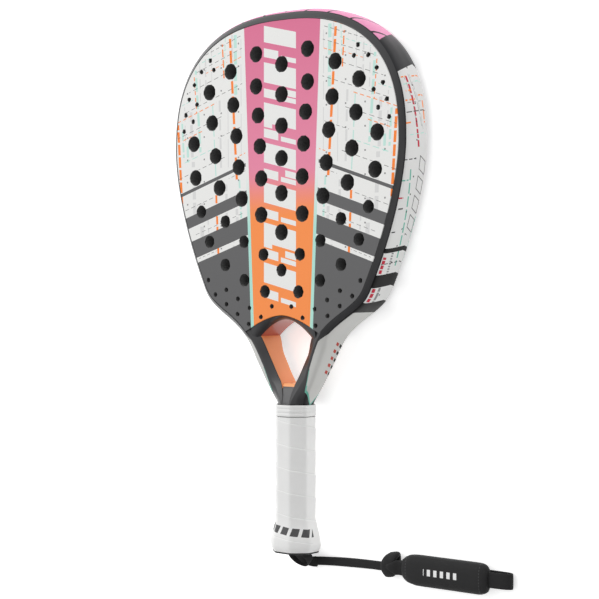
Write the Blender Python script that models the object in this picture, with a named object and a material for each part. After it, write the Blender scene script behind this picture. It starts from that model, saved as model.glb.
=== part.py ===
"""Padel racket with a wrist strap, lying on its rear face.

Metres. X runs across the racket, Y along it towards the head, Z up through its thickness.
The origin is under the middle of the racket, on the surface that it lies on.
Heights along Y are written from a line a little below that middle, and the last step moves everything
from that line to the origin.
"""

import math

import bmesh
import bpy
import numpy as np
from mathutils import Vector
from mathutils.geometry import interpolate_bezier

MM = 0.001
GAP = 0.3 * MM  # left between glued or touching pieces

# Racket
LENGTH = 455 * MM
THICKNESS = 38 * MM
MID_Z = THICKNESS / 2
HEAD_END_Y = 231.9 * MM
BUTT_END_Y = HEAD_END_Y - LENGTH
MIDDLE_Y = (HEAD_END_Y + BUTT_END_Y) / 2

# Head: the edge of the hitting face. A rounded top on a flank that narrows towards the throat
TOP_RIM = 10.4 * MM  # from the face's edge to the frame's outer wall, over the top of the head
SIDE_RIM = 6 * MM  # the same along the flanks
FACE_HALF_WIDTH = 118.5 * MM
WIDEST_Y = 117 * MM
FACE_TOP_Y = HEAD_END_Y - TOP_RIM
TOP_ROUNDNESS = 2.5  # 2 would be an ellipse
SHOULDER_Y = -3 * MM
FLANK_DROP = 35.5 * MM  # how much narrower the face is at the shoulder
FLANK_POWER = 1.65

# Throat: the arch of the face above the opening, and the opening itself
ARCH_TOP_Y = -23.7 * MM
ARCH_HALF_WIDTH = 35.3 * MM
ARCH_RISE = 12.2 * MM
ARCH_POWER = 1.7
VALLEY = (37 * MM, -37 * MM)  # where the face's flank and its arch meet
OPENING_TOP_Y = -27.2 * MM
OPENING_HALF_WIDTH = 26.8 * MM
OPENING_RISE = 14.4 * MM
OPENING_POWER = 1.8
OPENING_BOTTOM_Y = -84 * MM
BRIDGE_HALF_WIDTH = 33 * MM  # past the arms' inner walls, which trim it
BRIDGE_END_DROP = 1.2 * MM  # how much lower its ridge runs where it meets the arms
BRIDGE_LIP = 12.9 * MM  # half of its depth along the opening

# Laminate and core
SKIN = 1.0 * MM
SKIN_SEAT = 1.4 * MM  # step in the frame that the skin lies in
OVERLAP = 3 * MM  # how far the skin reaches over the frame
TUBE_WALL = 1.6 * MM

# Drilled holes, on the centre line or in mirrored pairs: (x, y) in millimetres
BIG_HOLE = 13.4 * MM
MEDIUM_HOLE = 10.6 * MM
SMALL_HOLE = 3.9 * MM
EDGE_WALL = 1.2 * MM  # least foam left between a hole and the frame
BIG_CENTRES = (
    (0, 185), (0, 160), (0, 134), (0, 107), (0, 78), (0, 45.5),
    (27.5, 195.5), (27.5, 168.5), (25.5, 144), (23.5, 118), (22, 91), (22, 60.5),
    (56, 183), (53, 154.5), (49.5, 128), (47, 101.5), (43.5, 74.5),
    (80, 167), (77, 140.5), (73, 112), (68.5, 84.5),
    (98, 123.5), (96, 94),
)
MEDIUM_CENTRES = (
    (0, 14), (19.5, 27), (18, -4), (41, 38), (40.5, 5.5),
    (62, 55.5), (62, 18.5), (89.5, 64.5), (80, 38.5),
)
RIM_HOLES = 6  # small holes along the upper rim
RIM_HOLE_INSET = 8.2 * MM
RIM_HOLE_START_Y = 201 * MM
RIM_HOLE_PITCH = 15.2 * MM
SECOND_ROW = ((75, 186), (94.5, 157.5), (99, 143))
LOWER_ROWS = (  # first hole, step to the next, count: rows that follow the lower edge
    ((35, -18), (13, 7.6), 3),
    ((35.8, -31.6), (12.5, 8.2), 4),
    ((81.5, 5.5), (0, 0), 1),
    ((10.5, -16.4), (11.9, -9), 2),
)

# Handle, from the collar down
COLLAR_TOP_Y = -98.7 * MM
COLLAR_LENGTH = 9.8 * MM
COLLAR_DEPTHS = (-0.3 * MM, 0.5 * MM)  # its outside and inside, under the overgrip's surface
TAPE_DEPTHS = (0.8 * MM, 1.2 * MM)
TAPE_TOP_Y = -101 * MM
WRAP_TOP_Y = COLLAR_TOP_Y - COLLAR_LENGTH - 0.4 * MM
HANDLE_TOP_Y = -110 * MM  # of the foam handle and its cushion grip
HANDLE_END_Y = BUTT_END_Y + 4.5 * MM
LEG_END_Y = BUTT_END_Y + 23.5 * MM
GRIP_HALF_WIDTH = 16.4 * MM
OVERGRIP = 1.0 * MM
BASE_GRIP = 1.5 * MM
BUTT_HALF_WIDTH = 21.2 * MM
BUTT_HALF_DEPTH = MID_Z
BUTT_ROUNDING = 2.2 * MM
EDGE_SOFTNESS = 0.2  # radians, half of what each softened edge of the handle spans
FLARE_START_Y = -192 * MM
FLARE_END_Y = -216 * MM
PLUG = (12.2 * MM, 8.2 * MM)  # half width and depth of the butt cap's plug
PLUG_ROOM = 0.4 * MM  # left round the plug in the foam handle
STRAP_SLOT = (10.4 * MM, 6.4 * MM)  # half width and depth
STRAP_BAR_Y = BUTT_END_Y + 13.5 * MM
STRAP_BAR = (1.5 * MM, 7.9 * MM)  # radius and half length
PIN_HOLE_RADIUS = 1.8 * MM

# Strap
WEBBING = 1.5 * MM
LOOP_WIDTH = 12.5 * MM
LOOP_Z = 9.05  # in millimetres: the upper strand's height inside the pad
HITCH_WIDTH = 6.4 * MM
STRAND_WIDTH = 7.6 * MM
STRAND_THICKNESS = 3.2 * MM
HITCH = (6 * MM, -232.5 * MM, 6 * MM)  # where the strap is looped through itself
KNOT_X = (80.5 * MM, 101.5 * MM)
KNOT_SECTION = (11.5 * MM, 6.2 * MM)  # half width and height
KNOT_Z = 6.4 * MM
PAD_X = (102.6 * MM, 184.5 * MM)
PAD_WIDTH = 27 * MM
PAD_HEIGHT = 13 * MM
PAD_FLOOR = 2.2 * MM  # room for the returning strand below the pad
STRAP_Y = -227 * MM


def material(name, colour, roughness, metallic=0.0):
    made = bpy.data.materials.new(name)
    made.use_nodes = True
    shader = made.node_tree.nodes["Principled BSDF"]
    shader.inputs["Base Color"].default_value = (*colour, 1.0)
    shader.inputs["Roughness"].default_value = roughness
    shader.inputs["Metallic"].default_value = metallic
    made.diffuse_color = (*colour, 1.0)
    return made


def clear_scene():
    for old in list(bpy.data.objects):
        bpy.data.objects.remove(old, do_unlink=True)


def place(name, bm, finish, smooth=False):
    """Turns a bmesh into an object with its faces pointing out."""
    bmesh.ops.recalc_face_normals(bm, faces=bm.faces)
    mesh = bpy.data.meshes.new(name)
    bm.to_mesh(mesh)
    bm.free()
    if smooth:
        mesh.shade_smooth()
        mesh.set_sharp_from_angle(angle=math.radians(35))
    obj = bpy.data.objects.new(name, mesh)
    mesh.materials.append(finish)
    bpy.context.scene.collection.objects.link(obj)
    return obj


def bridge(bm, near, far):
    """Quads between two rings of the same count."""
    for i in range(len(near)):
        j = (i + 1) % len(near)
        bm.faces.new((near[i], near[j], far[j], far[i]))


def loft(name, rings, finish, inner=None, closed=False):
    """A solid through rings of points, or a wall between two sets of rings."""
    bm = bmesh.new()
    outer = [[bm.verts.new(p) for p in ring] for ring in rings]
    last = len(outer) if closed else len(outer) - 1
    for i in range(last):
        bridge(bm, outer[i], outer[(i + 1) % len(outer)])
    if inner is None:
        if not closed:
            bm.faces.new(outer[0])
            bm.faces.new(outer[-1])
        return place(name, bm, finish, smooth=True)
    bore = [[bm.verts.new(p) for p in ring] for ring in inner]
    for i in range(last):
        bridge(bm, bore[i], bore[(i + 1) % len(bore)])
    if not closed:
        bridge(bm, outer[0], bore[0])
        bridge(bm, outer[-1], bore[-1])
    return place(name, bm, finish, smooth=True)


def cut(obj, cutter):
    """Subtracts a hidden cutter."""
    cutter.hide_render = True
    cutter.display_type = "WIRE"
    modifier = obj.modifiers.new("cut_" + cutter.name, "BOOLEAN")
    modifier.operation = "DIFFERENCE"
    modifier.solver = "EXACT"
    modifier.object = cutter


# Outlines ---------------------------------------------------------------------------------


def flank_x(y):
    """Half width of the face below its widest place: a drop that grows as a power of the distance."""
    t = (WIDEST_Y - y) / (WIDEST_Y - SHOULDER_Y)
    return FACE_HALF_WIDTH - FLANK_DROP * t**FLANK_POWER


def arch_y(x):
    """Lower edge of the face above the throat's opening."""
    return ARCH_TOP_Y - ARCH_RISE * (abs(x) / ARCH_HALF_WIDTH) ** ARCH_POWER


def opening_y(x):
    """Upper edge of the throat's opening."""
    return OPENING_TOP_Y - OPENING_RISE * (abs(x) / OPENING_HALF_WIDTH) ** OPENING_POWER


def bezier(start, start_way, end, end_way, reach, count=24):
    """Points from start to end, leaving and arriving along the given ways."""
    a, b = Vector((*start, 0)), Vector((*end, 0))
    leave, arrive = Vector((*start_way, 0)).normalized(), Vector((*end_way, 0)).normalized()
    points = interpolate_bezier(a, a + leave * reach[0], b - arrive * reach[1], b, count)
    return [(p.x, p.y) for p in points[1:]]


def edge_line():
    """Right half of the frame's ridge line, finely: over the head, along the arm and down the handle."""
    angles = np.linspace(math.pi / 2, 0, 90)
    power = 2 / TOP_ROUNDNESS
    top = [
        (
            FACE_HALF_WIDTH * max(math.cos(a), 0) ** power,
            WIDEST_Y + (FACE_TOP_Y - WIDEST_Y) * math.sin(a) ** power,
        )
        for a in angles
    ]
    flank_end = SHOULDER_Y + 4 * MM
    flank = [(flank_x(y), y) for y in np.linspace(WIDEST_Y, flank_end, 60)[1:]]
    steep = (flank_x(flank_end + MM) - flank_x(flank_end)) / MM
    lower = (61 * MM, -21.2 * MM)
    arm = (31 * MM, -50.5 * MM)
    wrist = (15.7 * MM, OPENING_BOTTOM_Y)
    neck = (10 * MM, -103 * MM)
    points = top + flank
    points += bezier(flank[-1], (-steep, -1), lower, (-0.85, -0.53), (9 * MM, 20 * MM))
    points += bezier(lower, (-0.85, -0.53), arm, (-0.47, -0.88), (22 * MM, 10 * MM))
    points += bezier(arm, (-0.47, -0.88), wrist, (-0.40, -0.92), (12 * MM, 12 * MM))
    points += bezier(wrist, (-0.40, -0.92), neck, (0, -1), (7 * MM, 6 * MM))
    points += [(neck[0], y) for y in np.linspace(neck[1], LEG_END_Y, 40)[1:]]
    return np.array(points)


def stations():
    """Places along the ridge line's right half and the outward way at each, from the top of the head."""
    line = edge_line()
    steps = np.linalg.norm(np.diff(line, axis=0), axis=1)
    along = np.concatenate([[0], np.cumsum(steps)])

    def length_at(y):
        return along[np.argmax((line[:, 1] <= y) & (along > 0.05))]

    shoulder, arm_top, collar = length_at(4 * MM), length_at(-46 * MM), length_at(-98 * MM)
    places = list(np.linspace(0, shoulder, 22, endpoint=False))
    places += list(np.linspace(shoulder, arm_top, 12, endpoint=False))
    places += list(np.linspace(arm_top, collar, 6, endpoint=False))
    places += [length_at(y * MM) for y in (-98.5, -104, -109)] + [along[-1]]
    way = np.gradient(line, along, axis=0)
    found = []
    for s in places:
        point = np.array([np.interp(s, along, line[:, k]) for k in (0, 1)])
        t = np.array([np.interp(s, along, way[:, k]) for k in (0, 1)])
        t /= np.linalg.norm(t)
        out = np.array([-t[1], t[0]])
        if s == 0:
            out = np.array([0.0, 1.0])
        found.append((point, out))
    return found


# Frame ------------------------------------------------------------------------------------

# The tube's front corners at some heights, in millimetres: (out from the ridge line, above the middle).
# inner wall, seat of the skin, ridge, outer wall
HEAD_SECTION = ((-3.0, 17.6), (0.3, 17.6), (0.3, 19.0), (SIDE_RIM / MM, 14.5))
SECTION_KEYS = (
    (-37.5, HEAD_SECTION),
    (-44.0, ((-8.3, 13.4), (-0.8, 16.2), (0.0, 16.4), (7.6, 12.5))),
    (-58.0, ((-6.3, 9.9), (-0.8, 14.1), (0.0, 14.3), (8.0, 11.8))),
    (-77.0, ((-8.0, 9.6), (-0.8, 11.7), (0.0, 11.9), (6.8, 10.0))),
    (-84.0, ((-9.3, 9.6), (-3.0, 11.6), (0.0, 11.0), (5.8, 9.2))),
    (-98.5, ((-7.8, 13.4), (-5.5, 14.0), (-1.4, 11.6), (4.0, 5.6))),
    (-104.0, ((-7.6, 13.4), (-5.5, 14.0), (-1.2, 11.4), (4.2, 5.2))),
    (-109.0, ((-8.8, 9.6), (-5.0, 10.0), (-1.0, 9.6), (1.5, 6.0))),
)


def section(y, grow=0.0):
    """The tube's closed section at height y, pushed out by grow."""
    keys = [k[0] * MM for k in SECTION_KEYS][::-1]
    corners = []
    for i in range(4):
        out = np.interp(y, keys, [k[1][i][0] * MM for k in SECTION_KEYS][::-1])
        up = np.interp(y, keys, [k[1][i][1] * MM for k in SECTION_KEYS][::-1])
        corners.append([out, up])
    rise = max((y - WIDEST_Y) / (FACE_TOP_Y - WIDEST_Y), 0.0)
    corners[3][0] += (TOP_RIM - SIDE_RIM) * rise**2
    pushed = (
        (corners[0][0] - grow, corners[0][1] + grow),
        (corners[1][0] - (grow if y < VALLEY[1] else 0), corners[1][1] + grow),
        (corners[2][0], corners[2][1] + grow),
        (corners[3][0] + grow, corners[3][1] + grow),
    )
    return pushed + tuple((out, -up) for out, up in pushed[::-1])


def bore_section(y):
    """The hollow inside the tube's section."""
    inner, seat, ridge, outer = section(y)[:4]
    low = min(seat[1], ridge[1]) - TUBE_WALL
    hollow = (
        (inner[0] + TUBE_WALL, inner[1] - TUBE_WALL),
        (seat[0] - 0.6 * MM, low),
        (ridge[0] + 0.6 * MM, low),
        (outer[0] - TUBE_WALL, outer[1] - 0.4 * TUBE_WALL),
    )
    return hollow + tuple((out, -up) for out, up in hollow[::-1])


def tube_rings(shape):
    """Rings of the tube from the right leg's end over the head to the left leg's end."""
    right = []
    for point, out in stations():
        corners = shape(point[1])
        right.append([(*(point + out * n), MID_Z + up) for n, up in corners])
    left = [[(-x, y, z) for x, y, z in ring] for ring in right]
    return right[::-1] + left[1:]


def frame_tube(finish):
    return loft("frame_tube", tube_rings(section), finish, inner=tube_rings(bore_section))


def frame_cutter(finish):
    """The tube's outer shape with the gap round it."""
    return loft("frame_space", tube_rings(lambda y: section(y, GAP)), finish)


def throat_bridge(finish, cutter):
    """Arched piece that closes the head above the opening, fitted between the arms."""
    rings = []
    for x in np.linspace(-BRIDGE_HALF_WIDTH, BRIDGE_HALF_WIDTH, 15):
        top, low = arch_y(x), opening_y(x)
        ridge = MID_Z - BRIDGE_END_DROP * (abs(x) / BRIDGE_HALF_WIDTH) ** 4
        corners = (
            (top + OVERLAP, MID_Z - SKIN_SEAT),
            (top - GAP, MID_Z - SKIN_SEAT),
            (top - GAP, ridge),
            (low, BRIDGE_LIP),
        )
        ring = [(x, y, MID_Z + up) for y, up in corners]
        ring += [(x, y, MID_Z - up) for y, up in corners[::-1]]
        rings.append(ring)
    obj = loft("throat_bridge", rings, finish)
    cut(obj, cutter)
    return obj


def throat_wedge(finish, cutter):
    """Filler between the two legs below the opening, flush with the neck."""
    rings = []
    for y, half_width, up in (
        (-84, 7.4, 9.4), (-88, 7.0, 10.2), (-98.5, 4.0, 13.3), (-104, 4.0, 13.3)
    ):
        ring = [
            (-half_width * MM, y * MM, MID_Z - up * MM),
            (half_width * MM, y * MM, MID_Z - up * MM),
            (half_width * MM, y * MM, MID_Z + up * MM),
            (-half_width * MM, y * MM, MID_Z + up * MM),
        ]
        rings.append(ring)
    obj = loft("throat_wedge", rings, finish)
    cut(obj, cutter)
    return obj


# Core and skins ---------------------------------------------------------------------------


def holes():
    """All drilled holes: (x, y, diameter, sides)."""
    found = []
    for centres, diameter in ((BIG_CENTRES, BIG_HOLE), (MEDIUM_CENTRES, MEDIUM_HOLE)):
        found += [(x * MM, y * MM, diameter, 8) for x, y in centres]
    small = [(x * MM, y * MM) for x, y in SECOND_ROW]
    for (x, y), (dx, dy), count in LOWER_ROWS:
        small += [((x + i * dx) * MM, (y + i * dy) * MM) for i in range(count)]
    line = edge_line()
    steps = np.linalg.norm(np.diff(line, axis=0), axis=1)
    along = np.concatenate([[0], np.cumsum(steps)])
    start = along[np.argmax(line[:, 1] <= RIM_HOLE_START_Y)]
    way = np.gradient(line, along, axis=0)
    for i in range(RIM_HOLES):
        s = start + i * RIM_HOLE_PITCH
        point = np.array([np.interp(s, along, line[:, k]) for k in (0, 1)])
        t = np.array([np.interp(s, along, way[:, k]) for k in (0, 1)])
        out = np.array([-t[1], t[0]]) / np.linalg.norm(t)
        small.append(tuple(point - out * RIM_HOLE_INSET))
    found += [(x, y, SMALL_HOLE, 5) for x, y in small]
    return found + [(-x, y, d, n) for x, y, d, n in found if x > MM]


def face_outline(inset):
    """Edge of a slab that lies inside the face's edge by inset, over both halves."""
    side = [p - out * inset for p, out in stations() if p[1] > -60 * MM]
    lower = [p for p in side if p[1] < SHOULDER_Y][::-1]
    edge_x, edge_y = [p[0] for p in lower], [p[1] for p in lower]
    right = [tuple(p) for p in side if p[1] > arch_y(p[0]) + inset + GAP]
    arch = [(x, arch_y(x) + inset) for x in np.linspace(36 * MM, -36 * MM, 19)]
    arch = [(x, y) for x, y in arch if y > np.interp(abs(x), edge_x, edge_y) + GAP]
    left = [(-x, y) for x, y in right[::-1]][:-1]
    return right + arch + left


def drilled_slab(name, inset, low, high, finish):
    """A slab of the face's outline with every hole through it."""
    bm = bmesh.new()
    edges = []

    def ring(points):
        verts = [bm.verts.new((x, y, low)) for x, y in points]
        for i, vert in enumerate(verts):
            edges.append(bm.edges.new((vert, verts[(i + 1) % len(verts)])))

    outline = face_outline(inset)
    ring(outline)
    for x, y, diameter, sides in holes():
        if min(math.dist((x, y), p) for p in outline) < diameter / 2 + EDGE_WALL:
            continue  # too near the edge to be drilled through this layer
        angles = [2 * math.pi * (i + 0.5) / sides for i in range(sides)]
        radius = diameter / 2 / math.cos(math.pi / sides) ** 0.5
        ring([(x + radius * math.cos(a), y + radius * math.sin(a)) for a in angles])
    bmesh.ops.triangle_fill(bm, use_beauty=True, use_dissolve=False, edges=edges)
    grown = bmesh.ops.extrude_face_region(bm, geom=bm.faces[:])
    lifted = [v for v in grown["geom"] if isinstance(v, bmesh.types.BMVert)]
    bmesh.ops.translate(bm, verts=lifted, vec=(0, 0, high - low))
    return place(name, bm, finish)


# Handle -----------------------------------------------------------------------------------


def octagon(half_width, half_depth, y):
    """Handle section: eight flats with a softened edge of two points between them."""
    ring = []
    for i in range(8):
        for side in (-EDGE_SOFTNESS, EDGE_SOFTNESS):
            a = math.radians(22.5 + 45 * i) + side
            reach = 1 / math.cos(math.radians(22.5) - EDGE_SOFTNESS)
            ring.append((half_width * reach * math.cos(a), y, MID_Z + half_depth * reach * math.sin(a)))
    return ring


def flare(y):
    """How far the handle has widened towards the butt, from 0 to 1, smoothly."""
    t = min(max((FLARE_START_Y - y) / (FLARE_START_Y - FLARE_END_Y), 0.0), 1.0)
    return t * t * (3 - 2 * t)


def round_off(y):
    """How far the butt's edge has rounded in below the flare."""
    return BUTT_ROUNDING * max((FLARE_END_Y - y) / (FLARE_END_Y - BUTT_END_Y), 0.0) ** 2


def handle_ring(y, under):
    """Ring at height y, under the overgrip's surface by the given depth."""
    widen = flare(y)
    half_width = GRIP_HALF_WIDTH + (BUTT_HALF_WIDTH - GRIP_HALF_WIDTH) * widen
    half_depth = GRIP_HALF_WIDTH + (BUTT_HALF_DEPTH - GRIP_HALF_WIDTH) * widen
    shrink = under + round_off(y)
    return octagon(half_width - shrink, half_depth - shrink, y)


def sleeve(name, heights, outside, inside, finish):
    """A wall round the handle between two depths under the overgrip's surface."""
    outer = [handle_ring(y, outside) for y in heights]
    inner = [handle_ring(y, inside) for y in heights]
    return loft(name, outer, finish, inner=inner)


def flare_heights(top, bottom):
    """Heights along the handle, closer together at the flare."""
    flared = np.linspace(FLARE_START_Y, FLARE_END_Y, 5)
    rounded = np.linspace(FLARE_END_Y, BUTT_END_Y, 4)[1:]
    return [top] + [y for y in (*flared, *rounded) if y > bottom + MM] + [bottom]


def handle_pallet(finish, cutter):
    """Foam handle moulded round the two legs, hollow behind the butt cap."""
    under = OVERGRIP + BASE_GRIP + 2 * GAP
    rings = [handle_ring(y, under) for y in flare_heights(HANDLE_TOP_Y, HANDLE_END_Y)]
    obj = loft("handle_pallet", rings, finish)
    cut(obj, cutter)
    half_width, half_depth = (half + PLUG_ROOM for half in PLUG)
    ends = (LEG_END_Y - MM, BUTT_END_Y - MM)
    pocket = [box_ring(half_width, half_depth, y) for y in ends]
    cut(obj, loft("strap_pocket", pocket, finish))
    return obj


def box_ring(half_width, half_depth, y):
    return [
        (-half_width, y, MID_Z - half_depth),
        (half_width, y, MID_Z - half_depth),
        (half_width, y, MID_Z + half_depth),
        (-half_width, y, MID_Z + half_depth),
    ]


def butt_cap(finish):
    """Cap with a hollow plug that holds the strap bar, and a slot for the strap."""
    rings = [box_ring(*PLUG, BUTT_END_Y + above * MM) for above in (20, 3.5)]
    plug = loft("butt_cap", rings, finish)
    rim = ((4.1, 1.3), (1.3, 1.3), (1.2, -0.1), (0.5, -0.1), (0, 1.2))  # above the butt's end, under the wrap
    plate = loft("butt_plate", [handle_ring(BUTT_END_Y + y * MM, under * MM) for y, under in rim], finish)
    join = plug.modifiers.new("plate", "BOOLEAN")
    join.operation = "UNION"
    join.object = plate
    plate.hide_render = True
    plate.display_type = "WIRE"
    through = (BUTT_END_Y + 25 * MM, BUTT_END_Y - 5 * MM)
    cut(plug, loft("strap_slot", [box_ring(*STRAP_SLOT, y) for y in through], finish))
    pin = rod("pin_hole", PIN_HOLE_RADIUS, PLUG[1] + 0.1 * MM, finish)
    cut(plug, pin)
    return plug


def rod(name, radius, half_length, finish):
    """Rod through the butt cap's plug, across the strap slot."""
    bpy.ops.mesh.primitive_cylinder_add(
        vertices=12, radius=radius, depth=2 * half_length, location=(0, STRAP_BAR_Y, MID_Z)
    )
    obj = bpy.context.active_object
    obj.name = name
    obj.data.materials.append(finish)
    obj.data.shade_smooth()
    obj.data.set_sharp_from_angle(angle=math.radians(35))
    return obj


# Strap ------------------------------------------------------------------------------------


def smooth_route(points, count, closed=False):
    """Evenly spaced places on a smooth curve through the points."""
    data = bpy.data.curves.new("route", "CURVE")
    data.dimensions = "3D"
    spline = data.splines.new("BEZIER")
    spline.bezier_points.add(len(points) - 1)
    for knot, point in zip(spline.bezier_points, points):
        knot.co = Vector(point) * MM
        knot.handle_left_type = knot.handle_right_type = "AUTO"
    spline.use_cyclic_u = closed
    spline.resolution_u = 24
    guide = bpy.data.objects.new("route", data)
    bpy.context.scene.collection.objects.link(guide)
    bpy.context.view_layer.update()
    mesh = guide.to_mesh()
    line = np.array([tuple(v.co) for v in mesh.vertices])
    guide.to_mesh_clear()
    bpy.data.objects.remove(guide, do_unlink=True)
    if closed:
        line = np.vstack([line, line[:1]])
    steps = np.linalg.norm(np.diff(line, axis=0), axis=1)
    along = np.concatenate([[0], np.cumsum(steps)])
    wanted = np.linspace(0, along[-1], count + 1 if closed else count)
    made = np.stack([np.interp(wanted, along, line[:, k]) for k in range(3)], axis=1)
    return made[:-1] if closed else made


def band(name, route, width, thickness, side, finish, closed=False):
    """Flat webbing along a route. side gives the way of its width at each point."""
    way = np.gradient(route, axis=0)
    if closed:
        way = np.roll(route, -1, axis=0) - np.roll(route, 1, axis=0)
    rings = []
    for point, t in zip(route, way):
        t = t / np.linalg.norm(t)
        across = np.array(side, float)
        across -= t * np.dot(across, t)
        across /= np.linalg.norm(across)
        up = np.cross(t, across)
        ring = []
        for u, v in ((-1, -1), (1, -1), (1, 1), (-1, 1)):
            ring.append(point + across * u * width / 2 + up * v * thickness / 2)
        rings.append(ring)
    return loft(name, rings, finish, closed=closed)


HITCH_ROUTE = (  # round the strap bar, out of the slot and down to the fold
    (0, -206.6, 19), (5.5, -209.1, 19), (7.2, -215.6, 19), (8, -222.6, 17.7), (9.5, -227.8, 13.3),
    (8, -232.3, 9.7), (3, -233.8, 9.2), (-3.5, -231.3, 11.5), (-6.5, -225.8, 16), (-7.2, -219.6, 18.5),
    (-6.8, -212.6, 19), (-5, -208.2, 19),
)
STRAND_ROUTE = (
    (10, -232, 2.5), (20, -231.4, 2.0), (30, -230.7, 1.8), (42, -230, 1.8), (54, -229.6, 1.8),
    (67, -229.3, 2.2), (79.9, -229, 3.2),
)
LOOP_ROUTE = (
    (102.2, -227, 9.0), (109, -227, LOOP_Z), (122, -227, LOOP_Z), (143, -227, LOOP_Z), (164, -227, LOOP_Z),
    (182, -227, LOOP_Z), (193.5, -227, 8.9), (200.5, -227, 7.6), (203, -227, 4.8), (200.5, -227, 2.0),
    (193.5, -227, 1.0), (182, -227, 0.9), (150, -227, 0.9), (131, -227, 0.9), (114, -227, 0.95),
    (106.5, -227, 1.2), (102.2, -227, 2.0),
)


def strap_knot(finish):
    """Outer shape of the overhand knot that ties both strands."""
    bpy.ops.mesh.primitive_uv_sphere_add(segments=14, ring_count=8, radius=1.0)
    obj = bpy.context.active_object
    obj.name = "strap_knot"
    middle = (KNOT_X[0] + KNOT_X[1]) / 2
    size = Vector(((KNOT_X[1] - KNOT_X[0]) / 2, *KNOT_SECTION))
    for vert in obj.data.vertices:
        vert.co *= size
    obj.location = (middle, STRAP_Y, KNOT_Z)
    obj.data.materials.append(finish)
    obj.data.shade_smooth()
    return obj


def pad_ring(x, half_width, half_height, sides=12):
    """Rounded section of the wrist pad at x."""
    middle = PAD_FLOOR + PAD_HEIGHT / 2
    ring = []
    for i in range(sides):
        a = 2 * math.pi * i / sides
        c, s = math.cos(a), math.sin(a)
        across = math.copysign(abs(c) ** 0.7, c) * half_width
        up = math.copysign(abs(s) ** 0.8, s) * half_height
        ring.append((x, STRAP_Y + across, middle + up))
    return ring


def tunnel_ring(x, half_width, half_height, sides=12):
    """Section of the webbing's way through the pad."""
    middle = LOOP_Z * MM
    ring = []
    for i in range(sides):
        a = 2 * math.pi * i / sides
        c, s = math.cos(a), math.sin(a)
        across = math.copysign(min(abs(c) * 1.3, 1.0), c) * half_width
        up = math.copysign(min(abs(s) * 1.3, 1.0), s) * half_height
        ring.append((x, STRAP_Y + across, middle + up))
    return ring


PAD_PROFILE = ((0.0, 0.68, 0.56), (0.03, 0.80, 0.74), (0.09, 0.93, 0.92), (0.2, 1.0, 1.0),
               (0.5, 1.0, 1.0), (0.8, 1.0, 1.0), (0.91, 0.93, 0.92), (0.97, 0.80, 0.74), (1.0, 0.68, 0.56))
PAD_COVER = 1.6 * MM


def wrist_pad(cover_finish, foam_finish):
    """Soft cover and the foam in it, both open along the webbing's way."""
    length = PAD_X[1] - PAD_X[0]
    outer, lining, foam, tunnel = [], [], [], []
    for t, wide, high in PAD_PROFILE:
        x = PAD_X[0] + t * length
        half_width, half_height = wide * PAD_WIDTH / 2, high * PAD_HEIGHT / 2
        outer.append(pad_ring(x, half_width, half_height))
        lining.append(pad_ring(x, half_width - PAD_COVER, half_height - PAD_COVER))
        if 0.05 < t < 0.95:
            less = PAD_COVER + GAP
            foam.append(pad_ring(x, half_width - less, half_height - less))
            tunnel.append(tunnel_ring(x, LOOP_WIDTH / 2 + 0.5 * MM, WEBBING / 2 + 0.5 * MM))
    cover = loft("wrist_pad_cover", outer, cover_finish, inner=lining)
    filling = loft("wrist_pad_foam", foam, foam_finish, inner=tunnel)
    return cover, filling


def joint_empty(name, place_at, children):
    """An empty on a joint's axis, with the pieces that move about it."""
    empty = bpy.data.objects.new(name, None)
    empty.location = place_at
    bpy.context.scene.collection.objects.link(empty)
    bpy.context.view_layer.update()
    for child in children:
        child.parent = empty
        child.matrix_parent_inverse = empty.matrix_world.inverted()
    return empty


def move_to_origin():
    """Moves every object along Y, so that the origin comes under the middle of the racket's length."""
    for obj in bpy.data.objects:
        if obj.parent is None:
            obj.location.y -= MIDDLE_Y


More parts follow.
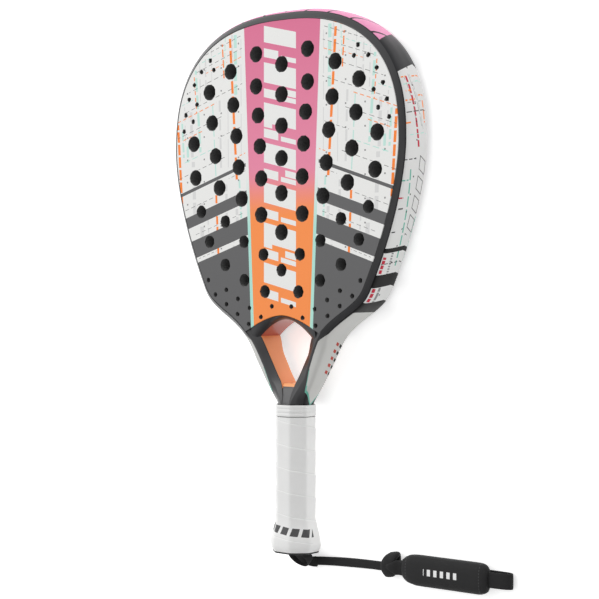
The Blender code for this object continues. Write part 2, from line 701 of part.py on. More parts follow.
def main():
    clear_scene()
    moulding = material("clear-coated carbon", (0.06, 0.06, 0.062), 0.3)
    resin = material("moulded resin filler", (0.07, 0.07, 0.07), 0.4)
    foam = material("EVA foam", (0.02, 0.02, 0.02), 0.9)
    skin = material("sanded lacquer skin", (0.85, 0.85, 0.84), 0.55)
    pallet = material("polyurethane foam", (0.75, 0.68, 0.5), 0.8)
    cushion = material("cushion grip", (0.82, 0.82, 0.82), 0.7)
    wrap = material("white overgrip", (0.9, 0.9, 0.89), 0.6)
    collar = material("white rubber", (0.9, 0.9, 0.9), 0.5)
    tape = material("finishing tape", (0.85, 0.85, 0.85), 0.5)
    cap = material("black cap plastic", (0.03, 0.03, 0.03), 0.45)
    steel = material("steel pin", (0.6, 0.6, 0.6), 0.3, 1.0)
    webbing = material("black webbing", (0.02, 0.02, 0.02), 0.85)
    neoprene = material("black neoprene", (0.03, 0.03, 0.03), 0.8)

    frame_tube(moulding)
    space = frame_cutter(moulding)
    throat_bridge(moulding, space)
    throat_wedge(resin, space)
    core_inset = OVERLAP + GAP
    core_low = SKIN_SEAT + GAP
    drilled_slab("core_foam", core_inset, core_low, THICKNESS - core_low, foam)
    drilled_slab("skin_rear", 0.0, 0.1 * MM, 0.1 * MM + SKIN, skin)
    drilled_slab("skin_front", 0.0, THICKNESS - 0.1 * MM - SKIN, THICKNESS - 0.1 * MM, skin)

    handle_pallet(pallet, space)
    grip_heights = flare_heights(HANDLE_TOP_Y, HANDLE_END_Y)
    sleeve("base_grip", grip_heights, OVERGRIP + GAP, OVERGRIP + BASE_GRIP, cushion)
    over_heights = flare_heights(WRAP_TOP_Y, BUTT_END_Y + 1.5 * MM)
    sleeve("overgrip", over_heights, 0.0, OVERGRIP, wrap)
    collar_low = COLLAR_TOP_Y - COLLAR_LENGTH
    sleeve("grip_collar", [COLLAR_TOP_Y, collar_low], *COLLAR_DEPTHS, collar)
    sleeve("finishing_tape", [TAPE_TOP_Y, collar_low], *TAPE_DEPTHS, tape)
    butt_cap(cap)
    rod("strap_bar", *STRAP_BAR, steel)

    hitch_route = smooth_route(HITCH_ROUTE, 30, closed=True)
    band("strap_hitch", hitch_route, HITCH_WIDTH, WEBBING, (0, 0, 1), webbing, closed=True)
    strands = band("strap_strands", smooth_route(STRAND_ROUTE, 16), STRAND_WIDTH, STRAND_THICKNESS,
                   (0, 1, 0), webbing)
    loop = band("wrist_loop", smooth_route(LOOP_ROUTE, 44), LOOP_WIDTH, WEBBING, (0, 1, 0), webbing)
    knot = strap_knot(webbing)
    cover, filling = wrist_pad(neoprene, foam)
    swing = joint_empty("strap_swing_axis", HITCH, [strands, loop, knot])
    slide = joint_empty("pad_slide_axis", (PAD_X[0], STRAP_Y, 9 * MM), [cover, filling])
    slide.parent = swing
    slide.matrix_parent_inverse = swing.matrix_world.inverted()
    move_to_origin()


main()
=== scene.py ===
"""Looks of a padel racket with a wrist strap, built round its fixed frame.

Metres, in the frame's axes: X across the racket, Y towards the head, Z up through its thickness.
Heights along Y are written from the same line as in the frame's design, MIDDLE_Y below the racket's
middle, and every mesh is moved by MIDDLE_Y as it is made. Printed graphics are laid out in millimetres on
those heights.
"""

import math

import bpy
import numpy as np
from mathutils import Matrix, Vector
from mathutils.geometry import delaunay_2d_cdt


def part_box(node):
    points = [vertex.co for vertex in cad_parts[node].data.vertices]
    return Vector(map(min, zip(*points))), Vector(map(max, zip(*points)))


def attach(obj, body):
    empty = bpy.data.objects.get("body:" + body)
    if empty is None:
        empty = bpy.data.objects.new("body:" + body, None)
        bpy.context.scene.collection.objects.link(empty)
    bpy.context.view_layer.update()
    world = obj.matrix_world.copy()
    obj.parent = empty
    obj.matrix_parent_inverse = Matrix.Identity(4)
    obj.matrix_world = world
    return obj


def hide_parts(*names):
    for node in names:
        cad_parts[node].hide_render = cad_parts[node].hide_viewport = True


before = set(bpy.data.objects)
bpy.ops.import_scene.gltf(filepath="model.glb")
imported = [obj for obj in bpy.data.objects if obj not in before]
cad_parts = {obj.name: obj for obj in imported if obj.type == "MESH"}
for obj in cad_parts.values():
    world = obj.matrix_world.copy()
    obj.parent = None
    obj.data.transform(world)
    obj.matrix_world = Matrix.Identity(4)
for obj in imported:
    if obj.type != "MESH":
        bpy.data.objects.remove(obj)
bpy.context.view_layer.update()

bl_info = {
    "name": "Padel racket",
    "version": (1, 0, 0),
    "blender": (4, 5, 0),
    "location": "3D View > Sidebar > Padel",
    "description": "Builds a padel racket with its wrist strap and a studio round it",
    "category": "Object",
}

MM = 0.001
RACKET, STRAP, PAD = "racket", "strap", "wrist_pad"

# Racket, as the frame has it
HEAD_END_Y = 231.9 * MM
BUTT_END_Y = -223.1 * MM
MIDDLE_Y = (HEAD_END_Y + BUTT_END_Y) / 2  # written height of the frame's origin
LIFT = Vector((0, MIDDLE_Y, 0))  # from a place in the frame to the same place as written here
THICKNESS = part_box("frame_tube")[1].z
MID_Z = THICKNESS / 2
TOP_RIM = 10.4 * MM  # from the face's edge to the frame's outer wall, over the top of the head
FACE_HALF_WIDTH = 118.5 * MM
FACE_TOP_Y = HEAD_END_Y - TOP_RIM
WIDEST_Y = 117 * MM
TOP_ROUNDNESS = 2.5
SHOULDER_Y = -3 * MM
FLANK_DROP = 35.5 * MM
FLANK_POWER = 1.65
ARCH_TOP_Y = -23.7 * MM
ARCH_HALF_WIDTH = 35.3 * MM
ARCH_RISE = 12.2 * MM
ARCH_POWER = 1.7
OPENING_TOP_Y = -27.2 * MM
OPENING_HALF_WIDTH = 26.8 * MM
OPENING_RISE = 14.4 * MM
OPENING_POWER = 1.8
OPENING_BOTTOM_Y = -84 * MM
COLLAR_TOP_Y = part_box("grip_collar")[1].y + MIDDLE_Y
GRIP_TOP_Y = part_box("overgrip")[1].y + MIDDLE_Y
GRIP_END_Y = BUTT_END_Y + 1.5 * MM
LEG_END_Y = -140 * MM
GRIP_HALF_WIDTH = 16.4 * MM
BUTT_HALF_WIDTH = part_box("overgrip")[1].x
FLARE_START_Y = -192 * MM
FLARE_END_Y = -216 * MM
BUTT_ROUNDING = 2.2 * MM
STRAP_Y = -227 * MM

# Strap routes in millimetres, as the frame has them
HITCH_ROUTE = (
    (2.5, -206.9, 19), (5.5, -209.1, 19), (7.2, -215.6, 19), (8, -222.6, 17.7), (9.5, -227.8, 13.3),
    (8, -232.3, 9.7), (3, -233.8, 9.2), (-3.5, -231.3, 11.5), (-6.5, -225.8, 16), (-7.2, -219.6, 18.5),
    (-6.8, -212.6, 19), (-5, -208.2, 19), (-2.5, -206.8, 19),
)
STRAND_ROUTE = (
    (6, -232.2, 6.6), (10, -232, 4.4), (20, -231.4, 2.6), (30, -230.7, 2.0), (42, -230, 1.8),
    (54, -229.6, 1.8), (67, -229.3, 2.2), (79.9, -229, 3.2), (84, -228.8, 4.4),
)
LOOP_ROUTE = (
    (99, -227, 8.6), (102.2, -227, 9.0), (109, -227, 9.05), (122, -227, 9.05), (143, -227, 9.05),
    (164, -227, 9.05), (182, -227, 9.05), (193.5, -227, 8.9), (200.5, -227, 7.6), (203, -227, 4.8),
    (200.5, -227, 2.0), (193.5, -227, 1.0), (182, -227, 0.9), (150, -227, 0.9), (131, -227, 0.9),
    (114, -227, 0.95), (106.5, -227, 1.2), (102.2, -227, 2.0), (99, -227, 3.6),
)


# Settings ---------------------------------------------------------------------------------


def linear(hex_colour):
    """An sRGB hex colour as linear red, green and blue."""
    parts = [int(hex_colour[i : i + 2], 16) / 255 for i in (1, 3, 5)]
    return tuple(c / 12.92 if c <= 0.04045 else ((c + 0.055) / 1.055) ** 2.4 for c in parts)


def colour_setting(name, description, hex_colour):
    return bpy.props.FloatVectorProperty(
        name=name, description=description, subtype="COLOR", size=3, min=0, max=1, default=linear(hex_colour)
    )


def length_setting(name, description, default):
    return bpy.props.FloatProperty(
        name=name, description=description, default=default, min=0, unit="LENGTH", subtype="DISTANCE"
    )


class PadelColours(bpy.types.PropertyGroup):
    """Colours of the print, the frame and the soft parts."""

    pink: colour_setting("Pink", "Centre band near the top of the face", "#de6f95")
    light_pink: colour_setting("Light pink", "Centre band before it turns orange", "#ea87a6")
    orange: colour_setting("Orange", "Lower centre band and the throat's inner walls", "#ff9143")
    signal_orange: colour_setting("Signal orange", "Thick dashed lines on the face", "#ff8420")
    # The throat's orange, painted lighter than the print as painted light on walls that lie in shade
    orange_painted_lighter: colour_setting("Orange painted lighter", "Walls inside the throat's opening", "#ffae72")
    mint: colour_setting("Mint", "Thin lines beside the centre band", "#b0e6d9")
    teal: colour_setting("Teal", "Lines on the side wall and the throat", "#6fb9a6")
    red: colour_setting("Red", "Dashed line on the side wall", "#c4283f")
    white: colour_setting("White", "White fields of the face and the side wall", "#efefed")
    pale_grey: colour_setting("Pale grey", "Faint bars on the white fields", "#d6d6d6")
    dark_grey: colour_setting("Dark grey", "Chevrons and the face's lower corners", "#5c5c5d")
    carbon: colour_setting("Carbon", "Clear-coated frame", "#313133")
    silver: colour_setting("Silver", "Panels on the throat's sides", "#cdcdca")
    # Underside of the arch: the throat's orange paint darkened to a red-brown as painted shade
    orange_in_painted_shade: colour_setting("Orange in painted shade", "Underside of the arch over the throat", "#b3523d")
    black: colour_setting("Black", "Bands across the side wall", "#0d0d0d")
    grip: colour_setting("Grip", "Overgrip and collar", "#efefee")
    webbing: colour_setting("Webbing", "Strap and wrist pad", "#1f1f20")


class PadelShape(bpy.types.PropertyGroup):
    """Sizes of the fine detail."""

    hole_chamfer: length_setting("Hole chamfer", "Softened lip of each drilled hole", 0.35 * MM)
    hole_sides: bpy.props.IntProperty(
        name="Hole sides", description="Sides of each drilled hole", default=40, min=8
    )
    wrap_pitch: length_setting("Wrap pitch", "Distance between the overgrip's seams", 19.5 * MM)
    wrap_step: length_setting("Wrap step", "Height of each seam of the overgrip", 0.42 * MM)
    webbing_thickness: length_setting("Webbing thickness", "Thickness of the strap's webbing", 1.5 * MM)
    strand_width: length_setting("Strand width", "Width of the folded strap", 7.2 * MM)
    loop_width: length_setting("Loop width", "Width of the wrist loop's webbing", 12.5 * MM)
    pad_swell: length_setting("Pad swell", "Most that the wrist pad's cover may puff out", 1.2 * MM)


class PadelStudio(bpy.types.PropertyGroup):
    """Floor and light."""

    floor: colour_setting("Floor", "Colour of the floor", "#f4f4f4")
    sky: bpy.props.FloatProperty(
        name="Sky", description="Strength of the light all round", default=0.8, min=0
    )
    key: bpy.props.FloatProperty(
        name="Key", description="Power of the large softbox", default=12, min=0, unit="POWER"
    )


def settings():
    scene = bpy.context.scene
    return scene.padel_colours, scene.padel_shape, scene.padel_studio


# Meshes -----------------------------------------------------------------------------------


def grid_mesh(name, points, close_u=False, uv=None, sharp=35):
    """A closed skin over a grid of points, shape (nu, nv, 3). It is closed round v. Along u it either
    closes on itself or ends in a flat cap at each end. uv holds one more row and column where it closes."""
    nu, nv = points.shape[:2]
    a, b = np.meshgrid(np.arange(nu if close_u else nu - 1), np.arange(nv), indexing="ij")
    a1, b1 = (a + 1) % nu, (b + 1) % nv
    quads = np.stack([a * nv + b, a1 * nv + b, a1 * nv + b1, a * nv + b1], -1).reshape(-1, 4)
    flat = points.reshape(-1, 3)
    corner = flat[quads]
    volume = np.einsum("ij,ij->i", corner[:, 0], np.cross(corner[:, 1], corner[:, 2])).sum()
    volume += np.einsum("ij,ij->i", corner[:, 0], np.cross(corner[:, 2], corner[:, 3])).sum()
    faces = quads.tolist()
    if not close_u:
        faces += [list(range(nv))[::-1], list(range((nu - 1) * nv, nu * nv))]
    mesh = bpy.data.meshes.new(name)
    mesh.from_pydata(flat, [], faces)
    if uv is not None:
        layer = mesh.uv_layers.new(name="UVMap")
        loops = np.zeros((len(mesh.loops), 2), np.float32)
        a2, b2 = (a + 1) % len(uv), (b + 1) % uv.shape[1]
        placed = np.stack([uv[a, b], uv[a2, b], uv[a2, b2], uv[a, b2]], 2)
        loops[: quads.size] = placed.reshape(-1, 2)
        layer.data.foreach_set("uv", loops.ravel())
    if volume < 0:
        mesh.flip_normals()
    return finish_mesh(name, mesh, sharp)


def finish_mesh(name, mesh, sharp=35):
    """Moves a mesh from the written heights to the frame's, shades it smooth but for its sharp edges, and
    puts it in the scene."""
    mesh.validate()
    mesh.transform(Matrix.Translation(-LIFT))
    mesh.shade_smooth()
    mesh.set_sharp_from_angle(angle=math.radians(sharp))
    obj = bpy.data.objects.new(name, mesh)
    bpy.context.scene.collection.objects.link(obj)
    return obj


def point_values(obj, name, values):
    """Stores one number per vertex, for the materials."""
    layer = obj.data.attributes.new(name, "FLOAT", "POINT")
    layer.data.foreach_set("value", np.asarray(values, np.float32).ravel())


def settle(obj, finish, body, slot, *nodes):
    """Gives a piece its material, parents it to its body's empty and hides the frame's pieces that it stands
    for.
    """
    obj.data.materials.append(finish)
    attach(obj, body)
    if nodes:
        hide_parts(*nodes)
    return obj


def smooth_line(points, count):
    """count places, evenly spaced, on the Catmull-Rom curve through the points."""
    p = np.array(points, float)
    p = np.vstack([2 * p[0] - p[1], p, 2 * p[-1] - p[-2]])
    t = np.linspace(0, 1, 24, endpoint=False)[:, None, None]
    a, b, c, d = p[:-3], p[1:-2], p[2:-1], p[3:]
    fine = 0.5 * (2 * b + (c - a) * t + (2 * a - 5 * b + 4 * c - d) * t**2 + (3 * b - a - 3 * c + d) * t**3)
    fine = np.vstack([fine.transpose(1, 0, 2).reshape(-1, p.shape[1]), c[-1:]])
    return evenly(fine, count)


def lengths(line):
    """Distance along a line at each of its points."""
    return np.concatenate([[0], np.cumsum(np.linalg.norm(np.diff(line, axis=0), axis=1))])


def evenly(line, count):
    """The line again with count points at equal distances."""
    along = lengths(line)
    wanted = np.linspace(0, along[-1], count)
    return np.stack([np.interp(wanted, along, line[:, k]) for k in range(line.shape[1])], 1)


def unit(vectors):
    return vectors / np.maximum(np.linalg.norm(vectors, axis=-1, keepdims=True), 1e-12)


def ribbon(name, path, width, thickness, side, sides=24, closed=False, flatness=0.3):
    """Flat webbing. Its section is the superellipse with x = cos^flatness and y = sin^0.75, carried along
    the path with its width along side, one way for the whole path or one for each point."""
    way = unit(np.roll(path, -1, 0) - np.roll(path, 1, 0)) if closed else unit(np.gradient(path, axis=0))
    side = np.broadcast_to(np.asarray(side, float), path.shape)
    across = unit(side - way * np.sum(side * way, 1, keepdims=True))
    up = np.cross(way, across)
    angle = np.linspace(0, 2 * math.pi, sides, endpoint=False)
    c, s = np.cos(angle), np.sin(angle)
    half_width = np.broadcast_to(np.asarray(width, float), len(path))[:, None] / 2
    half_depth = np.broadcast_to(np.asarray(thickness, float), len(path))[:, None] / 2
    u = np.sign(c) * np.abs(c) ** flatness * half_width
    v = np.sign(s) * np.abs(s) ** 0.75 * half_depth
    points = path[:, None] + across[:, None] * u[..., None] + up[:, None] * v[..., None]
    along = lengths(np.vstack([path, path[:1]]) if closed else path)
    if closed:
        u = np.vstack([u, u[:1]])
    uv = np.stack(np.broadcast_arrays(along[:, None], u), -1)
    return grid_mesh(name, points, closed, uv=np.concatenate([uv, uv[:, :1]], 1), sharp=60)


# Outlines ---------------------------------------------------------------------------------


def flank_x(y):
    """Half width of the face below its widest place: a drop that grows as a power of the distance."""
    return FACE_HALF_WIDTH - FLANK_DROP * ((WIDEST_Y - y) / (WIDEST_Y - SHOULDER_Y)) ** FLANK_POWER


def arch_y(x):
    """Lower edge of the face above the throat's opening."""
    return ARCH_TOP_Y - ARCH_RISE * (np.abs(x) / ARCH_HALF_WIDTH) ** ARCH_POWER


def opening_y(x):
    """Upper edge of the throat's opening."""
    return OPENING_TOP_Y - OPENING_RISE * (np.abs(x) / OPENING_HALF_WIDTH) ** OPENING_POWER


def bezier(start, start_way, end, end_way, reach, count=40):
    """A cubic curve that leaves start and arrives at end along the given ways, without its first point."""
    a, d = np.array(start, float), np.array(end, float)
    b = a + unit(np.array(start_way, float)) * reach[0]
    c = d - unit(np.array(end_way, float)) * reach[1]
    t = np.linspace(0, 1, count)[1:, None]
    return a * (1 - t) ** 3 + 3 * b * t * (1 - t) ** 2 + 3 * c * t**2 * (1 - t) + d * t**3


def ridge_line(count=230):
    """Right half of the frame's ridge line, evenly: a superellipse over the head, the flank, then smooth
    curves round the shoulder, along the arm and into the straight leg inside the handle."""
    a = np.linspace(math.pi / 2, 0, 160)
    power = 2 / TOP_ROUNDNESS
    top = np.stack(
        [
            FACE_HALF_WIDTH * np.cos(a).clip(0) ** power,
            WIDEST_Y + (FACE_TOP_Y - WIDEST_Y) * np.sin(a) ** power,
        ],
        1,
    )
    flank_end = SHOULDER_Y + 4 * MM
    y = np.linspace(WIDEST_Y, flank_end, 80)[1:]
    flank = np.stack([flank_x(y), y], 1)
    steep = (flank_x(flank_end + MM) - flank_x(flank_end)) / MM
    lower = (61 * MM, -21.2 * MM)
    arm = (31 * MM, -50.5 * MM)
    wrist = (15.7 * MM, OPENING_BOTTOM_Y)
    neck = (10 * MM, -103 * MM)
    leg = np.array([[neck[0], LEG_END_Y]])
    line = np.vstack(
        [
            top,
            flank,
            bezier(flank[-1], (-steep, -1), lower, (-0.85, -0.53), (9 * MM, 20 * MM)),
            bezier(lower, (-0.85, -0.53), arm, (-0.47, -0.88), (22 * MM, 10 * MM)),
            bezier(arm, (-0.47, -0.88), wrist, (-0.40, -0.92), (12 * MM, 12 * MM)),
            bezier(wrist, (-0.40, -0.92), neck, (0, -1), (7 * MM, 6 * MM)),
            leg,
        ]
    )
    return evenly(line, count)


def outward(line):
    """The way out of the racket at each point of the right half's ridge line."""
    way = unit(np.gradient(line, axis=0))
    out = np.stack([-way[:, 1], way[:, 0]], 1)
    out[0] = (0, 1)
    return out


def face_outline():
    """Edge of the hitting face all round: the ridge line above the arch, and the arch."""
    line = ridge_line(700)
    side = line[line[:, 1] > -60 * MM]
    lower = side[side[:, 1] < SHOULDER_Y][::-1]
    right = side[side[:, 1] > arch_y(side[:, 0]) + 0.3 * MM]
    x = np.linspace(36 * MM, -36 * MM, 121)
    arch = np.stack([x, arch_y(x)], 1)
    arch = arch[arch[:, 1] > np.interp(np.abs(x), lower[:, 0], lower[:, 1]) + 0.3 * MM]
    left = right[1:][::-1] * (-1, 1)
    return np.vstack([right, arch, left])[::-1]


def drilled_holes(node="skin_front"):
    """Centre and radius of every hole in a CAD slab: the closed edges of its top face, but for the outline.
    A hole's radius is the one whose circle has the polygon's area."""
    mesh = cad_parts[node].data
    co = np.empty(len(mesh.vertices) * 3)
    mesh.vertices.foreach_get("co", co)
    key, index = np.unique(np.round(co.reshape(-1, 3), 6), axis=0, return_inverse=True)
    mesh.calc_loop_triangles()
    tri = np.empty(len(mesh.loop_triangles) * 3, np.int32)
    mesh.loop_triangles.foreach_get("vertices", tri)
    tri = index.reshape(-1)[tri].reshape(-1, 3)
    tri = tri[(key[tri][:, :, 2] > key[:, 2].max() - 1e-5).all(1)]
    ends = np.concatenate([tri[:, [0, 1]], tri[:, [1, 2]], tri[:, [2, 0]]])
    _, first, count = np.unique(np.sort(ends, 1), axis=0, return_index=True, return_counts=True)
    follows = {int(a): int(b) for a, b in ends[first[count == 1]]}
    found = []
    while follows:
        start, at = next(iter(follows.items()))
        loop = [start]
        follows.pop(start)
        while at != start:
            loop.append(at)
            at = follows.pop(at)
        ring = key[loop][:, :2]
        nxt = np.roll(ring, -1, 0)
        area = abs(np.sum(ring[:, 0] * nxt[:, 1] - nxt[:, 0] * ring[:, 1])) / 2
        found.append((*ring.mean(0), math.sqrt(area / math.pi)))
    found.sort(key=lambda hole: hole[2])
    return np.array(found[:-1]) + (0, MIDDLE_Y, 0)


def drilled_plate(name, outline, holes, low, high, chamfer, sides, sharp=30):
    """A plate with a softened edge and softened round holes. Each loop is carried through four rings:
    inset by the chamfer at a face, full size just under it, the same at the other face."""
    angle = np.linspace(0, -2 * math.pi, sides, endpoint=False)
    circle = np.stack([np.cos(angle), np.sin(angle)], 1)
    loops = [(outline, -plan_outward(outline))]
    for x, y, radius in holes:
        n = sides if radius > 3 * MM else sides // 2
        ring = circle[:: sides // n]
        loops.append((ring * radius + (x, y), ring))
    flat, edges, start = [], [], 0
    for ring, inward in loops:
        flat.append(ring + inward * chamfer)
        n = len(ring)
        edges += [(start + i, start + (i + 1) % n) for i in range(n)]
        start += n
    flat = np.vstack(flat)
    _, _, tris, origin, _, _ = delaunay_2d_cdt([Vector(p) for p in flat], edges, [], 1, 1e-9)
    # The triangulation may reorder its points, so its faces are written in the order of the given ones.
    given = {i: first[0] for i, first in enumerate(origin) if first}
    tris = np.array([[given[i] for i in face] for face in tris if all(i in given for i in face)])
    middle = flat[tris].mean(1)
    gap = np.linalg.norm(middle[:, None] - holes[None, :, :2], axis=2) - holes[None, :, 2]
    tris = tris[gap.min(1) > 0]
    total = len(flat)
    full = np.vstack([ring for ring, _ in loops])
    heights = (high, high - chamfer, low + chamfer, low)
    levels = zip((flat, full, full, flat), heights)
    points = np.vstack([np.column_stack([ring, np.full(total, z)]) for ring, z in levels])
    following = np.array([b for _, b in edges])
    i = np.arange(total)
    band = np.stack([i, i + total, following + total, following], 1)
    walls = np.vstack([band + k * total for k in range(3)])
    area = np.cross(flat[tris[:, 1]] - flat[tris[:, 0]], flat[tris[:, 2]] - flat[tris[:, 0]])
    tris[area < 0] = tris[area < 0][:, ::-1]
    faces = tris.tolist() + (tris[:, ::-1] + 3 * total).tolist() + walls.tolist()
    mesh = bpy.data.meshes.new(name)
    mesh.from_pydata(points, [], faces)
    wall = np.zeros(len(mesh.polygons), np.int32)
    wall[2 * len(tris) :] = 1
    inner = np.tile(i >= len(outline), 3)
    wall[2 * len(tris) :] *= inner
    obj = finish_mesh(name, mesh, sharp)
    mesh.polygons.foreach_set("use_smooth", np.arange(len(mesh.polygons)) >= 2 * len(tris))
    obj["wall_faces"] = wall.tolist()
    return obj


def plan_outward(outline):
    """The way out at each point of an anticlockwise outline."""
    way = unit(np.roll(outline, -1, 0) - np.roll(outline, 1, 0))
    return np.stack([way[:, 1], -way[:, 0]], 1)


# Node helpers -----------------------------------------------------------------------------


def add_node(tree, kind, inputs=(), out=0, **values):
    """Adds a node with its settings, links or sets its inputs, and returns one output."""
    node = tree.nodes.new("ShaderNode" + kind)
    for name, value in values.items():
        setattr(node, name, value)
    for key, value in inputs.items() if isinstance(inputs, dict) else enumerate(inputs):
        if isinstance(value, bpy.types.NodeSocket):
            tree.links.new(value, node.inputs[key])
        else:
            node.inputs[key].default_value = value
    return node.outputs[out]


def new_finish(name, **sockets):
    """A material with a Principled shader. Returns the material, its tree and the shader."""
    made = bpy.data.materials.new(name)
    made.use_nodes = True
    shader = made.node_tree.nodes["Principled BSDF"]
    for key, value in sockets.items():
        shader.inputs[key.replace("_", " ")].default_value = value
    return made, made.node_tree, shader


def object_place(tree):
    """Places as written here, in millimetres: the vector, and its x, y and z."""
    metres = add_node(tree, "TexCoord", out="Object")
    place = add_node(tree, "VectorMath", (metres, (1 / MM,) * 3, LIFT / MM), operation="MULTIPLY_ADD")
    return place, *[add_node(tree, "SeparateXYZ", (place,), out=k) for k in "XYZ"]


def stripe(tree, value, low, high):
    """1 where value lies between low and high, 0 elsewhere."""
    return add_node(tree, "Math", (value, (low + high) / 2, (high - low) / 2), operation="COMPARE")


# A Mix node set to make one colour darker or lighter by another.
SHADE = {"out": 2, "data_type": "RGBA", "blend_type": "MULTIPLY"}


def both(tree, first, *others):
    for other in others:
        first = add_node(tree, "Math", (first, other), operation="MULTIPLY")
    return first


def either(tree, first, *others):
    for other in others:
        first = add_node(tree, "Math", (first, other), operation="MAXIMUM")
    return first


def paint(tree, under, colour, mask):
    """Lays a colour over another where the mask is 1."""
    over = colour if isinstance(colour, bpy.types.NodeSocket) else (*colour, 1)
    return add_node(tree, "Mix", {0: mask, 6: under, 7: over}, out=2, data_type="RGBA")


def repeat(tree, value, pitch, duty, phase=0.0):
    """1 over the first share (duty) of every pitch, 0 over the rest."""
    turns = add_node(tree, "Math", (value, 1 / pitch, phase), operation="MULTIPLY_ADD")
    part = add_node(tree, "Math", (turns,), operation="FRACT")
    return stripe(tree, part, 0, duty)


def dashed(tree, across, along, line):
    """A dashed line: (across, along) of its two ends, its width, the pitch of its dashes and their share."""
    a0, b0, a1, b1, width, pitch, duty = line
    slope = (a1 - a0) / (b1 - b0)
    straight = add_node(tree, "Math", (along, -slope, across), operation="MULTIPLY_ADD")
    middle = a0 - slope * b0
    on = stripe(tree, straight, middle - width / 2, middle + width / 2)
    run = stripe(tree, along, min(b0, b1), max(b0, b1))
    return both(tree, on, run, repeat(tree, along, pitch, duty, 0.13 * a0))


def wave(tree, value, pitch):
    """A sine from -1 to 1 that repeats every pitch."""
    turns = add_node(tree, "Math", (value, 2 * math.pi / pitch), operation="MULTIPLY")
    return add_node(tree, "Math", (turns,), operation="SINE")


def distance_from(tree, value, middle):
    """How far value is from middle, on either side."""
    away = add_node(tree, "Math", (value, -middle), operation="ADD")
    return add_node(tree, "Math", (away,), operation="ABSOLUTE")


def grain(tree, place, size, detail=2.0):
    """Noise whose features are size millimetres across."""
    return add_node(tree, "TexNoise", {"Vector": place, "Scale": 1 / size, "Detail": detail})


def bump(tree, shader, height, distance, strength=1.0):
    """Relief of a height from 0 to 1 over the given distance in metres."""
    normal = add_node(tree, "Bump", {"Strength": strength, "Distance": distance, "Height": height})
    tree.links.new(normal, shader.inputs["Normal"])


def spread(tree, value, low, high):
    """Maps 0 to 1 onto low to high."""
    return add_node(tree, "MapRange", {"Value": value, "To Min": low, "To Max": high})


# Print of the hitting face ----------------------------------------------------------------

SLANT = 0.325  # the chevrons' drop over their run
BAND_MIDDLE, BAND_SLOPE = 31.5, 0.0428  # half width of the centre band at y = 0, and its growth with y
FACE_ORANGE = (  # x, y of each end, width, pitch, share, all on both halves
    (49.0, 91, 56.6, 211, 2.6, 13, 0.82), (63.3, 177, 65.2, 207, 1.4, 9, 0.75),
    (95, 150, 98, 184, 1.0, 6, 0.6),
    (112.2, 72, 116.9, 141, 2.7, 11, 0.84), (69.8, 24, 72.6, 84, 2.3, 9, 0.78),
)
FACE_MINT = (
    (50.2, 163, 50.8, 216, 3.4, 14, 0.8), (90.5, 116, 96, 187, 2.6, 15, 0.8),
    (72.5, 92, 76.5, 157, 1.2, 17, 0.85),
    (110, 112, 112, 142, 2.2, 10, 0.8), (44, 58, 46.3, 92, 2.0, 9, 0.8), (63, 182, 61.8, 216, 0.9, 7, 0.7),
    (105, 108, 105.6, 124, 2.6, 12, 0.8),
)
FACE_GREY = (
    (53.8, 168, 54.4, 214, 1.7, 13, 0.82), (44, 106, 44.4, 214, 0.8, 21, 0.7),
    (66.5, 95, 68.5, 160, 2.2, 16, 0.6),
    (100, 112, 101.5, 152, 3.2, 11, 0.75), (97, 62, 99, 108, 3.8, 14, 0.8), (84, 168, 85, 204, 1.6, 9, 0.7),
    (60, 40, 61, 88, 2.6, 8, 0.7), (88, 30, 89.5, 72, 4.2, 12, 0.75), (48, 44, 49, 66, 3, 9, 0.8),
    (77, 160, 78, 212, 0.7, 11, 0.8), (108, 122, 109, 156, 1.1, 9, 0.6), (58.5, 96, 59, 160, 0.8, 30, 0.8),
    (80, 30, 82, 60, 1.4, 7, 0.6), (52, 20, 53, 52, 2.0, 6, 0.6), (90.5, 160, 91.5, 196, 1.2, 12, 0.7),
)
FACE_THREADS = (  # height and run of each fine dashed line along the slant: c, x, c, x, width, pitch, share
    (101, 74, 101, 111, 0.55, 7, 0.62), (111, 39, 111, 58, 0.5, 6, 0.6), (131, 62, 131, 116, 0.6, 7, 0.62),
    (150, 44, 150, 70, 0.5, 6, 0.6), (167, 66, 167, 117, 0.6, 8, 0.62), (186, 43, 186, 108, 0.6, 7, 0.6),
    (202, 46, 202, 104, 0.6, 8, 0.62), (216, 42, 216, 96, 0.6, 7, 0.62), (227, 44, 227, 84, 0.6, 6, 0.6),
    (239, 43, 239, 70, 0.6, 7, 0.5), (76, 40, 76, 98, 0.5, 7, 0.6), (54, 72, 54, 92, 0.5, 5, 0.6),
)
FACE_SPARKS = (
    (163, 88, 163, 112, 0.9, 6, 0.62), (181, 72, 181, 117, 0.9, 6.5, 0.62), (209, 43, 209, 54, 0.8, 5, 0.7),
    (211, 60, 211, 84, 0.7, 6, 0.55), (233, 44, 233, 66, 0.7, 7, 0.5), (126, 38, 126, 46, 0.8, 5, 0.6),
)
FACE_FROST = (
    (143, 78, 143, 112, 0.7, 9, 0.7), (222, 60, 222, 92, 0.7, 6, 0.6), (194, 98, 194, 112, 0.7, 5, 0.6),
)
CHEVRONS = ((114.4, 117.4), (83.8, 94.0), (55.6, 71.6), (-60, 51.0))  # low and high of each dark band
BLOCK_COLUMNS = (  # x from, x to, pitch, share and phase of the white blocks on the centre band
    (-19.0, 15.4, 33.5, 0.5, 0.02), (-19.0, -3.4, 33.5, 0.22, 0.39), (-0.6, 15.4, 33.5, 0.12, 0.39),
    (4.0, 15.4, 67.0, 0.08, 0.62), (-19.0, -10.0, 100.5, 0.05, 0.71),
)


